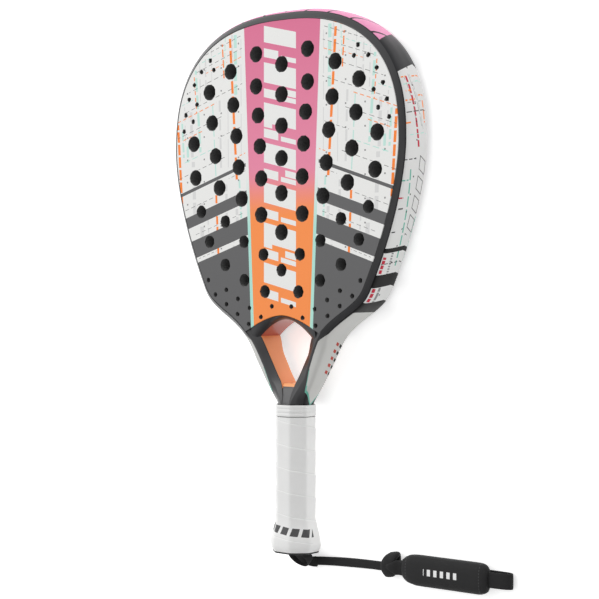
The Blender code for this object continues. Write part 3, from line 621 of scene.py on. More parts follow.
def face_lacquer(colours):
    """Printed lacquer with fine sand in it, on a carbon laminate: flat colours, matt, with a rough tooth."""
    made, tree, shader = new_finish("sanded printed lacquer", Roughness=0.55, IOR=1.5)
    place, x, y = object_place(tree)[:3]
    side = add_node(tree, "Math", (x,), operation="ABSOLUTE")
    slanted = add_node(tree, "Math", (side, SLANT, y), operation="MULTIPLY_ADD")
    beside = add_node(tree, "Math", (y, -BAND_SLOPE, side), operation="MULTIPLY_ADD")
    colour = add_node(tree, "RGB")
    colour.default_value = (*colours.white, 1)
    for across, along, lines, ink, share in (
        (side, y, FACE_GREY, colours.pale_grey, 0.75),
        (side, y, FACE_MINT, colours.mint, 0.75),
        (side, y, FACE_ORANGE, colours.signal_orange, 1.0),
        (slanted, side, FACE_FROST, colours.mint, 0.9),
        (slanted, side, FACE_THREADS, colours.dark_grey, 0.75),
        (slanted, side, FACE_SPARKS, colours.orange, 0.9),
    ):
        marks = either(tree, *[dashed(tree, across, along, line) for line in lines])
        colour = paint(tree, colour, ink, both(tree, marks, share))
    dots = both(tree, repeat(tree, side, 19.5, 0.075, 0.62), repeat(tree, y, 19.3, 0.07, 0.35))
    colour = paint(tree, colour, colours.dark_grey, both(tree, dots, 0.8))
    dark = either(tree, *[stripe(tree, slanted, low, high) for low, high in CHEVRONS])
    colour = paint(tree, colour, colours.dark_grey, dark)
    # A mint line runs beside the centre band, bright below and pale above.
    edge = stripe(tree, beside, BAND_MIDDLE, BAND_MIDDLE + 3.2)
    fade = add_node(tree, "MapRange", {"Value": y, "From Min": 95, "From Max": 50, "To Min": 0, "To Max": 1})
    colour = paint(tree, colour, paint(tree, (*colours.white, 1), colours.mint, fade), edge)
    # The centre band turns from pink at the top to orange below.
    paler = add_node(tree, "MapRange", {"Value": y, "From Min": 219, "From Max": 99})
    turning = {"Value": y, "From Min": 102, "From Max": 56}
    turning = add_node(tree, "MapRange", turning, interpolation_type="SMOOTHSTEP")
    band = paint(tree, (*colours.pink, 1), colours.light_pink, paler)
    band = paint(tree, band, colours.orange, turning)
    # Plain white slanted blocks in columns stand in for what is printed on the band.
    block_y = add_node(tree, "Math", (x, 0.24, y), operation="MULTIPLY_ADD")
    blocks = [
        both(tree, stripe(tree, x, low, high), repeat(tree, block_y, pitch, share, phase))
        for low, high, pitch, share, phase in BLOCK_COLUMNS
    ]
    blocks = both(tree, either(tree, *blocks), stripe(tree, block_y, -17, 214))
    band = paint(tree, band, colours.white, blocks)
    colour = paint(tree, colour, band, stripe(tree, beside, -99, BAND_MIDDLE))
    # Sand grit, drawn at about 0.7 mm because real grit of 0.1 mm would not show.
    grit = grain(tree, place, 0.7, 3.0)
    speck = spread(tree, grit, 0.93, 1.05)
    colour = add_node(tree, "Mix", {0: 1.0, 6: colour, 7: speck}, **SHADE)
    tree.links.new(colour, shader.inputs["Base Color"])
    tree.links.new(spread(tree, grit, 0.48, 0.68), shader.inputs["Roughness"])
    bump(tree, shader, grit, 0.12 * MM, 0.5)
    return made


def foam_finish(name, hex_colour, cell=1.2):
    """Closed-cell foam: matt, with fine pores."""
    made, tree, shader = new_finish(name, Roughness=0.85, IOR=1.45)
    place = object_place(tree)[0]
    pores = add_node(tree, "TexVoronoi", {"Vector": place, "Scale": 1 / cell})
    base = (*linear(hex_colour), 1)
    light = spread(tree, pores, 0.8, 1.3)
    colour = add_node(tree, "Mix", {0: 1.0, 6: base, 7: light}, **SHADE)
    tree.links.new(colour, shader.inputs["Base Color"])
    bump(tree, shader, pores, 0.15 * MM, 0.6)
    return made


# Frame ------------------------------------------------------------------------------------

# Front corners of the frame's section at some heights, in millimetres:
# (out from the ridge line, above the middle) of the inner wall, the skin's seat, the ridge and the outer
# wall
SECTION_KEYS = (
    (-37.5, ((-3.0, 17.6), (0.3, 17.6), (0.3, 19.0), (5.6, 14.8))),
    (-44.0, ((-8.3, 13.4), (-0.8, 16.2), (0.0, 16.4), (7.6, 12.5))),
    (-58.0, ((-6.3, 9.9), (-0.8, 14.1), (0.0, 14.3), (8.0, 11.8))),
    (-77.0, ((-8.0, 9.6), (-0.8, 11.7), (0.0, 11.9), (6.8, 10.0))),
    (-84.0, ((-9.3, 9.6), (-3.0, 11.6), (0.0, 11.0), (5.8, 9.2))),
    (-98.5, ((-7.8, 13.4), (-5.5, 14.0), (-1.4, 11.6), (4.0, 5.6))),
    (-104.0, ((-7.6, 13.4), (-5.5, 14.0), (-1.2, 11.4), (4.2, 5.2))),
    (-109.0, ((-8.8, 9.6), (-5.0, 10.0), (-1.0, 9.6), (1.5, 6.0))),
)
WALL_BULGE = 0.7 * MM  # how far the outer wall's middle facet stands out
TOP_BULGE = 1.7 * MM  # how much further it stands out over the top of the head
TOP_BEVEL = 1.7 * MM  # how much wider the front bevel is there
CORNER_REACH = (0.8, 0.35, 1.0, 3.2, 3.2)  # rounding of each corner from inner wall to facet, in millimetres


def frame_corners(y):
    """Ten corners of the frame's section at each height, front ones first. Each is averaged over a few
    millimetres of height, so that the facets run into each other smoothly."""
    keys = np.array([k[0] for k in SECTION_KEYS])[::-1] * MM
    table = np.array([k[1] for k in SECTION_KEYS])[::-1] * MM
    shifts = np.linspace(-3, 3, 7) * MM

    def averaged(values):
        return np.mean([np.interp(y + d, keys, values) for d in shifts], 0)

    front = np.stack([np.stack([averaged(table[:, i, j]) for j in (0, 1)], -1) for i in range(4)], 1)
    top = np.clip((y - WIDEST_Y) / (FACE_TOP_Y - WIDEST_Y), 0, 1) ** 2
    front[:, 3, 0] += TOP_BEVEL * top
    facet = front[:, 3] * (1, 0.45)
    facet[:, 0] += WALL_BULGE + TOP_BULGE * top
    front = np.concatenate([front, facet[:, None]], 1)
    return np.concatenate([front, front[:, ::-1] * (1, -1)], 1)


def rounded(corners, reach, count=5):
    """Rounds the corners of closed sections, shape (n, k, 2): a quadratic curve from reach before each
    corner to reach after it. Also returns how far round each point is, counted in corners."""
    before = np.roll(corners, 1, 1) - corners
    after = np.roll(corners, -1, 1) - corners
    reach = np.asarray(reach)[None, :, None]
    back = np.minimum(reach / np.linalg.norm(before, axis=2, keepdims=True), 0.46)
    on = np.minimum(reach / np.linalg.norm(after, axis=2, keepdims=True), 0.46)
    t = np.linspace(0, 1, count)[None, None, :, None]
    a, b, c = (v[:, :, None] for v in (corners + before * back, corners, corners + after * on))
    points = a * (1 - t) ** 2 + 2 * b * t * (1 - t) + c * t**2
    index = np.arange(corners.shape[1])[None, :, None, None]
    place = index - back[:, :, None] * (1 - t) ** 2 + on[:, :, None] * t**2
    n = len(corners)
    return points.reshape(n, -1, 2), place.reshape(n, -1)


def build_frame(colours):
    """The moulded tube: the section carried along the ridge line, from one leg over the head to the next."""
    line = ridge_line()
    out = outward(line)
    reach = np.array(CORNER_REACH) * MM
    shape, place = rounded(frame_corners(line[:, 1]), np.concatenate([reach, reach[::-1]]))
    ring = line[:, None] + out[:, None] * shape[:, :, :1]
    right = np.concatenate([ring, MID_Z + shape[:, :, 1:]], 2)
    left = right * (-1, 1, 1)
    # The left half's rings are listed the same way round, so the grid has no twist.
    points = np.concatenate([right[::-1], left[1:]])
    obj = grid_mesh("frame_shell", points, sharp=28)
    # How far round: 0 at the inner corners, 1 the seat, 2 the ridge, 3 the outer corners, and below 0 on
    # the inner wall.
    folded = np.minimum(place, 9 - place)
    folded = np.where(place > 9, -np.minimum(place - 9, 10 - place), folded)
    both_halves = np.concatenate([folded[::-1], folded[1:]])
    run = lengths(line) / MM
    run = np.repeat(np.concatenate([run[::-1], run[1:]])[:, None], place.shape[1], 1)
    y, z = points[:, :, 1] / MM, points[:, :, 2] / MM
    point_values(obj, "round", both_halves)
    point_values(obj, "run", run)
    point_values(obj, "panel", throat_panel(both_halves, y, z))
    coat = frame_lacquer("clear-coated carbon", colours, line, 0.5)
    settle(obj, coat, RACKET, "carbon_frame", "frame_tube")
    obj.data.materials.append(frame_lacquer("satin printed wall", colours, line, 0.12))
    on_wall = (both_halves[:-1] + both_halves[1:]) / 2
    on_wall = (on_wall + np.roll(on_wall, -1, 1)) / 2 > 2.85
    index = np.zeros(len(obj.data.polygons), np.int32)
    index[: on_wall.size] = on_wall.ravel()
    obj.data.polygons.foreach_set("material_index", index)
    return obj


def throat_panel(place, y, z):
    """How far inside the throat's side panel each point is, in millimetres: below the shoulder, outside a
    line on the front bevel, and above a pointed lower end."""
    edge = np.interp(y, (-96, -84, -70, -58, -44, -38, -30), (2.75, 2.45, 2.22, 2.2, 2.2, 2.95, 3.0))
    outside = (place - edge) * 7
    above = (y + 86 + 1.25 * (11 - np.abs(z - 19))) * 0.7
    below = -20.5 - y
    return np.minimum(np.minimum(outside, above), below)


def frame_lacquer(name, colours, line, gloss):
    """Clear-coated carbon, dark and glossy, with the side walls' print under the same coat."""
    made, tree, shader = new_finish(name, IOR=1.5, Coat_Weight=0.6 * gloss, Coat_Roughness=0.16)
    shader.inputs["Specular IOR Level"].default_value = gloss
    place, _, y, z = object_place(tree)
    ring = add_node(tree, "Attribute", out="Fac", attribute_name="round")
    run = add_node(tree, "Attribute", out="Fac", attribute_name="run")
    panel = add_node(tree, "Attribute", out="Fac", attribute_name="panel")
    along = lengths(line) / MM

    def run_at(height):
        """Distance along the ridge line, from the head's end, at a height in millimetres."""
        return float(np.interp(-height, -line[:, 1] / MM, along))

    wall = stripe(tree, ring, 2.93, 4.6)
    depth = add_node(tree, "Math", (30.0, z), operation="SUBTRACT")  # down from the front of the wall
    # Bands across the wall rise towards the back and fall again behind a soft ridge.
    rise = add_node(tree, "Math", (depth, 19.0), operation="MINIMUM")
    beyond = add_node(tree, "Math", (depth, -19.0), operation="ADD")
    fall = add_node(tree, "Math", (beyond, 0.0), operation="MAXIMUM")
    peak = add_node(tree, "Math", (fall, -1.6, rise), operation="MULTIPLY_ADD")
    sloped = add_node(tree, "Math", (peak, 0.16, run), operation="MULTIPLY_ADD")
    steeper = add_node(tree, "Math", (peak, 0.33, run), operation="MULTIPLY_ADD")
    colour = add_node(tree, "RGB")
    colour.default_value = (*colours.carbon, 1)
    weave = grain(tree, place, 6.0, 3.0)
    colour = add_node(tree, "Mix", {0: 1.0, 6: colour, 7: spread(tree, weave, 0.9, 1.1)}, **SHADE)

    # Pink blocks over the top of the head, parted by dark slants.
    slanting = add_node(tree, "Math", (z, 0.55, run), operation="MULTIPLY_ADD")
    pink = both(tree, wall, stripe(tree, steeper, -20, 99), repeat(tree, slanting, 23.0, 0.9, 0.2))
    colour = paint(tree, colour, linear("#f09ac2"), pink)

    # White side panel with fine lines.
    start = run_at(169.5)
    white = both(tree, wall, stripe(tree, steeper, start, 2000), stripe(tree, run, start - 9, run_at(-23)))
    colour = paint(tree, colour, linear("#e4e4e3"), white)
    lines = (
        (27, start + 5, 18.5, run_at(112), 2.4, 8.5, 0.83, colours.red),
        (29.5, start + 6, 21.5, run_at(130), 0.55, 6, 0.75, linear("#9a9a9a")),
        (23.5, start + 3, 14.5, run_at(128), 0.55, 11, 0.85, linear("#9a9a9a")),
        (21.5, start + 3, 12.5, run_at(126), 0.5, 8, 0.8, linear("#b0b0b0")),
        (10.8, run_at(148), 10.2, run_at(131), 1.6, 9, 0.85, colours.orange),
        (26.5, run_at(96), 15.0, run_at(20), 1.7, 10.5, 0.8, colours.teal),
        (6.0, run_at(60), 4.5, run_at(18), 1.2, 10, 0.8, colours.teal),
        (31.5, run_at(26), 31.0, run_at(13), 3.2, 4, 0.8, colours.red),
        (31.0, run_at(2.2), 30.5, run_at(-8), 3.6, 4, 0.8, colours.red),
        (24.0, run_at(31), 22, run_at(13), 2.6, 2.2, 0.6, linear("#8f8f8f")),
        (24.5, run_at(2.2), 24, run_at(-8), 3.0, 7, 0.9, linear("#8f8f8f")),
    )
    for *line_shape, ink in lines:
        mark = both(tree, white, dashed(tree, z, run, line_shape))
        colour = paint(tree, colour, ink, mark)
    ticks = (  # height of each cross line, its ends over the depth of the wall, width, pitch, share, ink
        (165.5, 27, 33, 1.0, 4, 0.7, colours.orange), (165, 9, 20, 1.0, 6, 0.7, colours.orange),
        (155, 22, 31, 1.2, 6, 0.6, colours.orange), (148, 21, 33, 1.2, 6, 0.6, colours.orange),
        (150.5, 9, 17, 1.1, 5, 0.75, colours.orange), (161, 8, 18, 0.8, 6, 0.8, colours.mint),
        (160, 24, 33, 0.7, 6, 0.6, colours.mint), (139, 7, 33, 0.8, 9, 0.8, linear("#555555")),
        (146, 12, 33, 0.5, 7, 0.6, linear("#999999")), (131, 29, 34, 1.2, 9, 0.9, colours.orange),
        (121.5, 8, 33, 0.6, 7, 0.6, colours.mint), (103, 22, 34, 0.8, 6, 0.7, linear("#444444")),
        (87, 27, 34, 1.0, 5, 0.7, colours.teal), (73.5, 29, 34, 1.2, 9, 0.9, colours.red),
        (65, 27, 34, 1.2, 8, 0.8, linear("#444444")), (47, 29, 34, 1.0, 5, 0.8, linear("#444444")),
        (22, 6, 33, 0.8, 6, 0.7, linear("#444444")),
    )
    for height, low, high, width, pitch, share, ink in ticks:
        at = run_at(height) + 0.16 * 8
        mark = both(tree, white, dashed(tree, sloped, z, (at, low, at, high, width, pitch, share)))
        colour = paint(tree, colour, ink, mark)
    dots = both(tree, white, stripe(tree, z, 20.6, 21.9), repeat(tree, run, 14.0, 0.09))
    colour = paint(tree, colour, linear("#2b2b2b"), dots)
    # Plain open frames stand in for what is printed along the panel.
    leaning = add_node(tree, "Math", (z, 0.5, run), operation="MULTIPLY_ADD")
    open_frames = both(
        tree, white, stripe(tree, run, run_at(106), run_at(44)), stripe(tree, z, 6.5, 15.5),
        repeat(tree, leaning, 15.5, 0.7),
    )
    inside = both(tree, stripe(tree, z, 7.2, 14.8), repeat(tree, leaning, 15.5, 0.61, -0.045))
    outlines = both(tree, open_frames, add_node(tree, "Math", (1.0, inside), operation="SUBTRACT"))
    colour = paint(tree, colour, linear("#4a4a4a"), outlines)

    # Black bands across the lower wall.
    for high, low in ((34.1, 30.4), (13.1, 2.8), (-7.8, -24)):
        crossing = stripe(tree, sloped, run_at(high) + 1, run_at(low) + 1)
        band = both(tree, stripe(tree, ring, 2.8, 4.6), crossing)
        colour = paint(tree, colour, colours.black, band)

    # Silver panel on the throat's side with a teal edge, and small slashes on its outer facet.
    on_panel = stripe(tree, panel, 0, 999)
    colour = paint(tree, colour, colours.silver, on_panel)
    teal = either(
        tree,
        both(tree, stripe(tree, panel, 0, 0.5), stripe(tree, y, -120, -68)),
        both(tree, stripe(tree, panel, 0, 1.3), stripe(tree, y, -120, -82)),
    )
    colour = paint(tree, colour, colours.teal, teal)
    tilt = add_node(tree, "Math", (z, -0.35, y), operation="MULTIPLY_ADD")
    slashes = either(tree, *[stripe(tree, tilt, at - 1.3, at + 1.3) for at in -53 - 5.9 * np.arange(5)])
    on_wall = both(tree, slashes, on_panel, stripe(tree, ring, 3.02, 4.6))
    colour = paint(tree, colour, linear("#b8473c"), both(tree, on_wall, stripe(tree, z, 14, 18)))
    colour = paint(tree, colour, colours.black, both(tree, on_wall, stripe(tree, z, 6.5, 12.5)))

    # Orange inner walls round the throat's opening, in an orange painted lighter as painted light where they
    # lie in shade.
    opening = both(tree, stripe(tree, ring, -2, 0.02), stripe(tree, y, -85, -38))
    colour = paint(tree, colour, colours.orange_painted_lighter, opening)
    printed = either(tree, on_panel, white, opening, pink)
    tree.links.new(colour, shader.inputs["Base Color"])
    smear = grain(tree, place, 9.0, 2.0)
    rough = spread(tree, smear, 0.27, 0.36)
    rough = add_node(tree, "Math", (printed, 0.12, rough), operation="MULTIPLY_ADD")
    tree.links.new(rough, shader.inputs["Roughness"])
    bump(tree, shader, grain(tree, place, 1.1, 2.0), 0.02 * MM, 0.4)
    return made


def build_bridge(colours):
    """The arched piece above the opening: at each x the section runs from under the face's edge over a
    rounded lip to the opening's edge and back on the rear side."""
    x = np.linspace(-34, 34, 101) * MM
    top = arch_y(x)
    low = opening_y(np.minimum(np.abs(x), 31 * MM))
    lean = 1.2 * MM * (np.abs(x) / (34 * MM)) ** 4
    flat = np.full_like(x, 0)
    corners = np.stack(
        [
            np.stack([top + 3 * MM, flat + 17.6 * MM], 1),
            np.stack([top - 0.3 * MM, flat + 17.6 * MM], 1),
            np.stack([top - 0.3 * MM, 19 * MM - lean], 1),
            np.stack([(top + low) / 2 - 0.6 * MM, flat + 16.3 * MM], 1),
            np.stack([low, flat + 12.9 * MM], 1),
        ],
        1,
    )
    corners = np.concatenate([corners, corners[:, ::-1] * (1, -1)], 1)
    reach = np.array((0.3, 0.2, 0.5, 2.2, 0.9)) * MM
    shape, place = rounded(corners, np.concatenate([reach, reach[::-1]]))
    across = np.repeat(x[:, None], shape.shape[1], 1)
    points = np.stack([across, shape[:, :, 0], MID_Z + shape[:, :, 1]], 2)
    obj = grid_mesh("throat_arch", points, sharp=40)
    point_values(obj, "under", np.minimum(place - 4, 5 - place))
    return settle(obj, arch_lacquer(colours), RACKET, "carbon_frame", "throat_bridge")


def arch_lacquer(colours):
    """Clear-coated carbon above; below, where the arch faces the opening, the throat's orange darkened to a
    red-brown as painted shade.
    """
    made, tree, shader = new_finish("clear-coated arch", IOR=1.5, Coat_Weight=0.35, Coat_Roughness=0.16)
    place = object_place(tree)[0]
    under = add_node(tree, "Attribute", out="Fac", attribute_name="under")
    # Below, the throat's orange darkened to a red-brown: painted shade under the arch
    colour = paint(tree, (*colours.carbon, 1), colours.orange_in_painted_shade, stripe(tree, under, -0.03, 9))
    shade = grain(tree, place, 5.0, 2.0)
    colour = add_node(tree, "Mix", {0: 1.0, 6: colour, 7: spread(tree, shade, 0.9, 1.1)}, **SHADE)
    tree.links.new(colour, shader.inputs["Base Color"])
    tree.links.new(spread(tree, shade, 0.26, 0.38), shader.inputs["Roughness"])
    bump(tree, shader, grain(tree, place, 1.1, 2.0), 0.02 * MM, 0.4)
    return made


def build_wedge(colours):
    """The filler between the legs: a softened box that narrows to the collar and deepens with the neck."""
    y = np.array((-81, -81.6, -83, -86, -90, -95, -100, -104, -108)) * MM
    keys = np.array((81, 84, 88, 98.5, 108)) * MM
    half = np.interp(-y, keys, np.array((8.2, 7.8, 7.0, 5.4, 5.4)) * MM)
    deep = np.interp(-y, keys, np.array((7.6, 9.9, 10.9, 13.9, 13.9)) * MM)
    signs = np.array(((-1, 1), (1, 1), (1, -1), (-1, -1)))
    corners = np.stack([half, deep], 1)[:, None] * signs
    shape, _ = rounded(corners, np.full(4, 1.4 * MM), 7)
    height = np.repeat(y[:, None], shape.shape[1], 1)
    points = np.stack([shape[:, :, 0], height, MID_Z + shape[:, :, 1]], 2)
    obj = grid_mesh("neck_filler", points, sharp=40)
    made, tree, shader = new_finish("filled and coated neck", IOR=1.5, Coat_Weight=0.35, Coat_Roughness=0.16)
    place, _, y, z = object_place(tree)
    level = distance_from(tree, z, MID_Z / MM)
    inside = both(tree, stripe(tree, y, -84.4, -70), stripe(tree, level, -1, 9.4))
    # The saddle at the opening's bottom in the same orange, painted lighter as painted light
    colour = paint(tree, (*colours.carbon, 1), colours.orange_painted_lighter, inside)
    tree.links.new(colour, shader.inputs["Base Color"])
    tree.links.new(spread(tree, grain(tree, place, 5.0), 0.26, 0.38), shader.inputs["Roughness"])
    bump(tree, shader, grain(tree, place, 1.1), 0.02 * MM, 0.4)
    return settle(obj, made, RACKET, "resin_filler", "throat_wedge")


# Handle -----------------------------------------------------------------------------------


def handle_radii(y):
    """Half width and half depth of the overgrip at each height: straight, then flared, then rounded in."""
    t = np.clip((FLARE_START_Y - y) / (FLARE_START_Y - FLARE_END_Y), 0, 1)
    widen = t * t * (3 - 2 * t)
    curl = BUTT_ROUNDING * np.clip((FLARE_END_Y - y) / (FLARE_END_Y - BUTT_END_Y), 0, 1) ** 2
    return (
        GRIP_HALF_WIDTH + (BUTT_HALF_WIDTH - GRIP_HALF_WIDTH) * widen - curl,
        GRIP_HALF_WIDTH + (MID_Z - GRIP_HALF_WIDTH) * widen - curl,
    )


def octagon(angle, sharpness=15):
    """Radius of an octagon with soft edges at an angle: the power mean of its eight flats' distances."""
    flats = np.arange(8) * math.pi / 4
    return np.sum(np.abs(np.cos(angle[..., None] - flats)) ** (2 * sharpness) / 2, -1) ** (-0.5 / sharpness)


def handle_sleeve(name, y, grow, sides=128, inner=1.0 * MM, relief=None):
    """A wall round the handle: the octagon scaled to the handle's half width and depth at each height, grown
    by grow and by the relief, then back along the inside."""
    angle = np.linspace(0, 2 * math.pi, sides, endpoint=False)
    reach = octagon(angle)
    wide, deep = handle_radii(y)
    extra = grow if relief is None else grow + relief(y[:, None], angle[None, :])
    extra = np.broadcast_to(extra, (len(y), sides))
    x = (wide[:, None] + extra) * reach * np.cos(angle)
    z = MID_Z + (deep[:, None] + extra) * reach * np.sin(angle)
    outer = np.stack([x, np.repeat(y[:, None], sides, 1), z], 2)
    x = (wide[:, None] - inner) * reach * np.cos(angle)
    z = MID_Z + (deep[:, None] - inner) * reach * np.sin(angle)
    inside = np.stack([x, np.repeat(y[:, None], sides, 1), z], 2)[::-1]
    points = np.concatenate([outer, inside])
    uv = np.stack(np.broadcast_arrays(points[:, :, 1], angle[None, :] * GRIP_HALF_WIDTH), -1)
    uv = np.concatenate([uv, uv[:, :1] + (0, 2 * math.pi * GRIP_HALF_WIDTH)], 1)
    return grid_mesh(name, points, close_u=True, uv=uv, sharp=50)


def build_grip(colours, shape):
    """The overgrip: a wrap wound in a helix. Each turn starts in a step and thins out to the next."""

    def wrap(y, angle):
        turns = y / shape.wrap_pitch - angle / (2 * math.pi)
        part = turns % 1.0
        step = np.clip((1 - part) / 0.045, 0, 1) * np.clip(part / 0.01, 0, 1)
        ease = np.clip((FLARE_END_Y - 2 * MM - y) / (-6 * MM), 0, 1)
        return shape.wrap_step * (part**1.5 * step - 0.25) * ease

    y = np.linspace(GRIP_TOP_Y, GRIP_END_Y, 420)
    obj = handle_sleeve("overgrip_wrap", y, 0.05 * MM, relief=wrap)
    settle(obj, wrap_finish(colours, shape), RACKET, "overgrip", "overgrip")
    y = np.array([0, 0.15, 0.5, 1.1, 3.0, 3.3, 3.6, 5.0, 6.4, 6.7, 7.0, 8.7, 9.3, 9.65, 9.8]) * MM
    swell = np.array([-0.9, -0.45, -0.12, 0, 0, -0.16, 0, 0.02, 0, -0.16, 0, 0, -0.12, -0.45, -0.9]) * MM
    height = COLLAR_TOP_Y - y

    def lip(_, angle):
        return np.repeat(swell[:, None], angle.shape[1], 1)

    collar = handle_sleeve("rubber_collar", height, 0.3 * MM, inner=0.6 * MM, relief=lip)
    return settle(collar, collar_finish(colours), RACKET, "collar_rubber", "grip_collar")


def wrap_finish(colours, shape):
    """Polyurethane overgrip: soft white film with a fine pebbled tooth, a thin painted shadow line at each
    seam and a row of plain dark bars near the butt."""
    made, tree, shader = new_finish(
        "polyurethane overgrip", IOR=1.48, Sheen_Weight=0.15, Subsurface_Weight=0.05
    )
    shader.inputs["Subsurface Radius"].default_value = (0.002, 0.002, 0.002)
    place, x, y, z = object_place(tree)
    uv = add_node(tree, "UVMap")
    along = add_node(tree, "SeparateXYZ", (uv,), out="X")
    round_ = add_node(tree, "SeparateXYZ", (uv,), out="Y")
    turn = add_node(tree, "Math", (round_, -1 / (2 * math.pi * GRIP_HALF_WIDTH)), operation="MULTIPLY")
    turns = add_node(tree, "Math", (along, 1 / shape.wrap_pitch, turn), operation="MULTIPLY_ADD")
    part = add_node(tree, "Math", (turns,), operation="FRACT")
    seam = either(tree, stripe(tree, part, 0.0, 0.012), stripe(tree, part, 0.985, 1.0))
    seam = both(tree, seam, stripe(tree, y, -214, -100))
    tone = grain(tree, place, 14.0, 3.0)
    light = spread(tree, tone, 0.965, 1.02)
    colour = add_node(tree, "Mix", {0: 1.0, 6: (*colours.grip, 1), 7: light}, **SHADE)
    # Painted shadow along each seam of the wrap
    colour = paint(tree, colour, linear("#cfcfce"), both(tree, seam, 0.5))
    lean = add_node(tree, "Math", (along, 0.35, round_), operation="MULTIPLY_ADD")
    drop = add_node(tree, "Math", (x, 0.12, y), operation="MULTIPLY_ADD")
    row = both(tree, stripe(tree, drop, -206.5, -200.0), stripe(tree, z, 20, 60))
    bars = both(tree, row, repeat(tree, lean, 8.4 * MM, 0.7))
    colour = paint(tree, colour, linear("#4b4b4c"), bars)
    tree.links.new(colour, shader.inputs["Base Color"])
    # A tooth of 0.4 mm, drawn at 0.9 mm so that it shows.
    pebble = add_node(tree, "TexVoronoi", {"Vector": place, "Scale": 1 / 0.9})
    tree.links.new(spread(tree, pebble, 0.5, 0.62), shader.inputs["Roughness"])
    bump(tree, shader, pebble, 0.05 * MM, 0.45)
    return made


def collar_finish(colours):
    """Moulded white rubber with a band of fine embossed knurls."""
    made, tree, shader = new_finish("moulded white rubber", IOR=1.5)
    place, _, y, _ = object_place(tree)
    along = add_node(tree, "SeparateXYZ", (add_node(tree, "UVMap"),), out="Y")
    band = stripe(tree, y, COLLAR_TOP_Y / MM - 6.2, COLLAR_TOP_Y / MM - 3.8)
    knurl = both(tree, band, repeat(tree, along, 1.6 * MM, 0.5))
    speckle = grain(tree, place, 0.9, 2.0)
    height = add_node(tree, "Math", (knurl, 0.6, speckle), operation="MULTIPLY_ADD")
    light = spread(tree, speckle, 0.93, 1.02)
    colour = add_node(tree, "Mix", {0: 1.0, 6: (*colours.grip, 1), 7: light}, **SHADE)
    tree.links.new(colour, shader.inputs["Base Color"])
    tree.links.new(spread(tree, speckle, 0.4, 0.55), shader.inputs["Roughness"])
    bump(tree, shader, height, 0.12 * MM, 0.7)
    return made


def build_butt():
    """The butt cap: a rounded rim plate whose section is blended from the handle's octagon to the slot, then
    carried up the slot's wall to its plug."""
    sides = 128
    angle = np.linspace(0, 2 * math.pi, sides, endpoint=False)
    wide, deep = handle_radii(np.array([BUTT_END_Y + 1.2 * MM]))
    reach = octagon(angle)
    outer = np.stack([wide[0] * reach * np.cos(angle), deep[0] * reach * np.sin(angle)], 1)

    def squared(half_width, half_depth, power):
        """A rectangle with rounded corners: the superellipse with cos and sin raised to power."""
        turn = np.stack([np.cos(angle), np.sin(angle)], 1)
        return np.sign(turn) * np.abs(turn) ** power * np.array((half_width, half_depth)) * MM

    slot = squared(10.3, 6.35, 0.25)
    plug = squared(12.1, 8.1, 0.2)

    def ring(shape, above):
        return np.column_stack([shape, np.full(sides, BUTT_END_Y + above * MM)])

    rows = (  # share of the way from the slot to the rim, and height above the butt's end
        (0.97, 1.25), (1.0, 1.0), (1.005, 0.6), (0.985, 0.2), (0.95, 0.02), (0.9, 0), (0.5, 0), (0.12, 0),
        (0.04, 0.1), (0.0, 0.5),
    )
    plate = [ring(slot + (outer - slot) * share, above) for share, above in rows]
    wall = [ring(slot, above) for above in (5.5, 19.5)]
    back = [ring(plug, above) for above in (19.9, 4.2)]
    under = [ring(outer - (outer - plug) * 0.35, above) for above in (4.0, 1.4)]
    points = np.array(plate + wall + back + under)[:, :, [0, 2, 1]] + (0, 0, MID_Z)
    obj = grid_mesh("butt_plate", points, close_u=True, sharp=40)
    made, tree, shader = new_finish("moulded black nylon", IOR=1.53)
    place = object_place(tree)[0]
    spark = grain(tree, place, 0.8, 2.0)
    light = spread(tree, spark, 0.85, 1.15)
    colour = add_node(tree, "Mix", {0: 1.0, 6: (*linear("#1d1d1e"), 1), 7: light}, **SHADE)
    tree.links.new(colour, shader.inputs["Base Color"])
    tree.links.new(spread(tree, spark, 0.38, 0.5), shader.inputs["Roughness"])
    bump(tree, shader, spark, 0.05 * MM, 0.5)
    return settle(obj, made, RACKET, "cap_plastic", "butt_cap")


# Strap ------------------------------------------------------------------------------------


def webbing_finish(colours, name="woven polyester webbing", rib=1.1):
    """Plain-woven polyester tape, black and dull: ribs across, threads along, a little sheen on the ribs,
    and painted shade in the hollows of the weave.
    """
    made, tree, shader = new_finish(name, IOR=1.5, Sheen_Weight=0.06, Sheen_Roughness=0.5, Roughness=0.85)
    uv = add_node(tree, "VectorMath", {0: add_node(tree, "UVMap"), "Scale": 1000}, operation="SCALE")
    along, across = (add_node(tree, "SeparateXYZ", (uv,), out=k) for k in "XY")
    # Ribs of about 0.6 mm and threads of 0.5 mm, drawn wider so that they show.
    cloth = both(tree, wave(tree, along, rib), wave(tree, across, 0.9))
    height = spread(tree, cloth, 0.45, 1.0)
    fluff = grain(tree, uv, 1.6, 3.0)
    # The colour is darkened in the weave's hollows by its relief height, as painted shade, with random fluff
    light = both(tree, height, spread(tree, fluff, 0.75, 1.3))
    colour = add_node(tree, "Mix", {0: 1.0, 6: (*colours.webbing, 1), 7: light}, **SHADE)
    tree.links.new(colour, shader.inputs["Base Color"])
    bump(tree, shader, height, 0.16 * MM, 0.7)
    return made


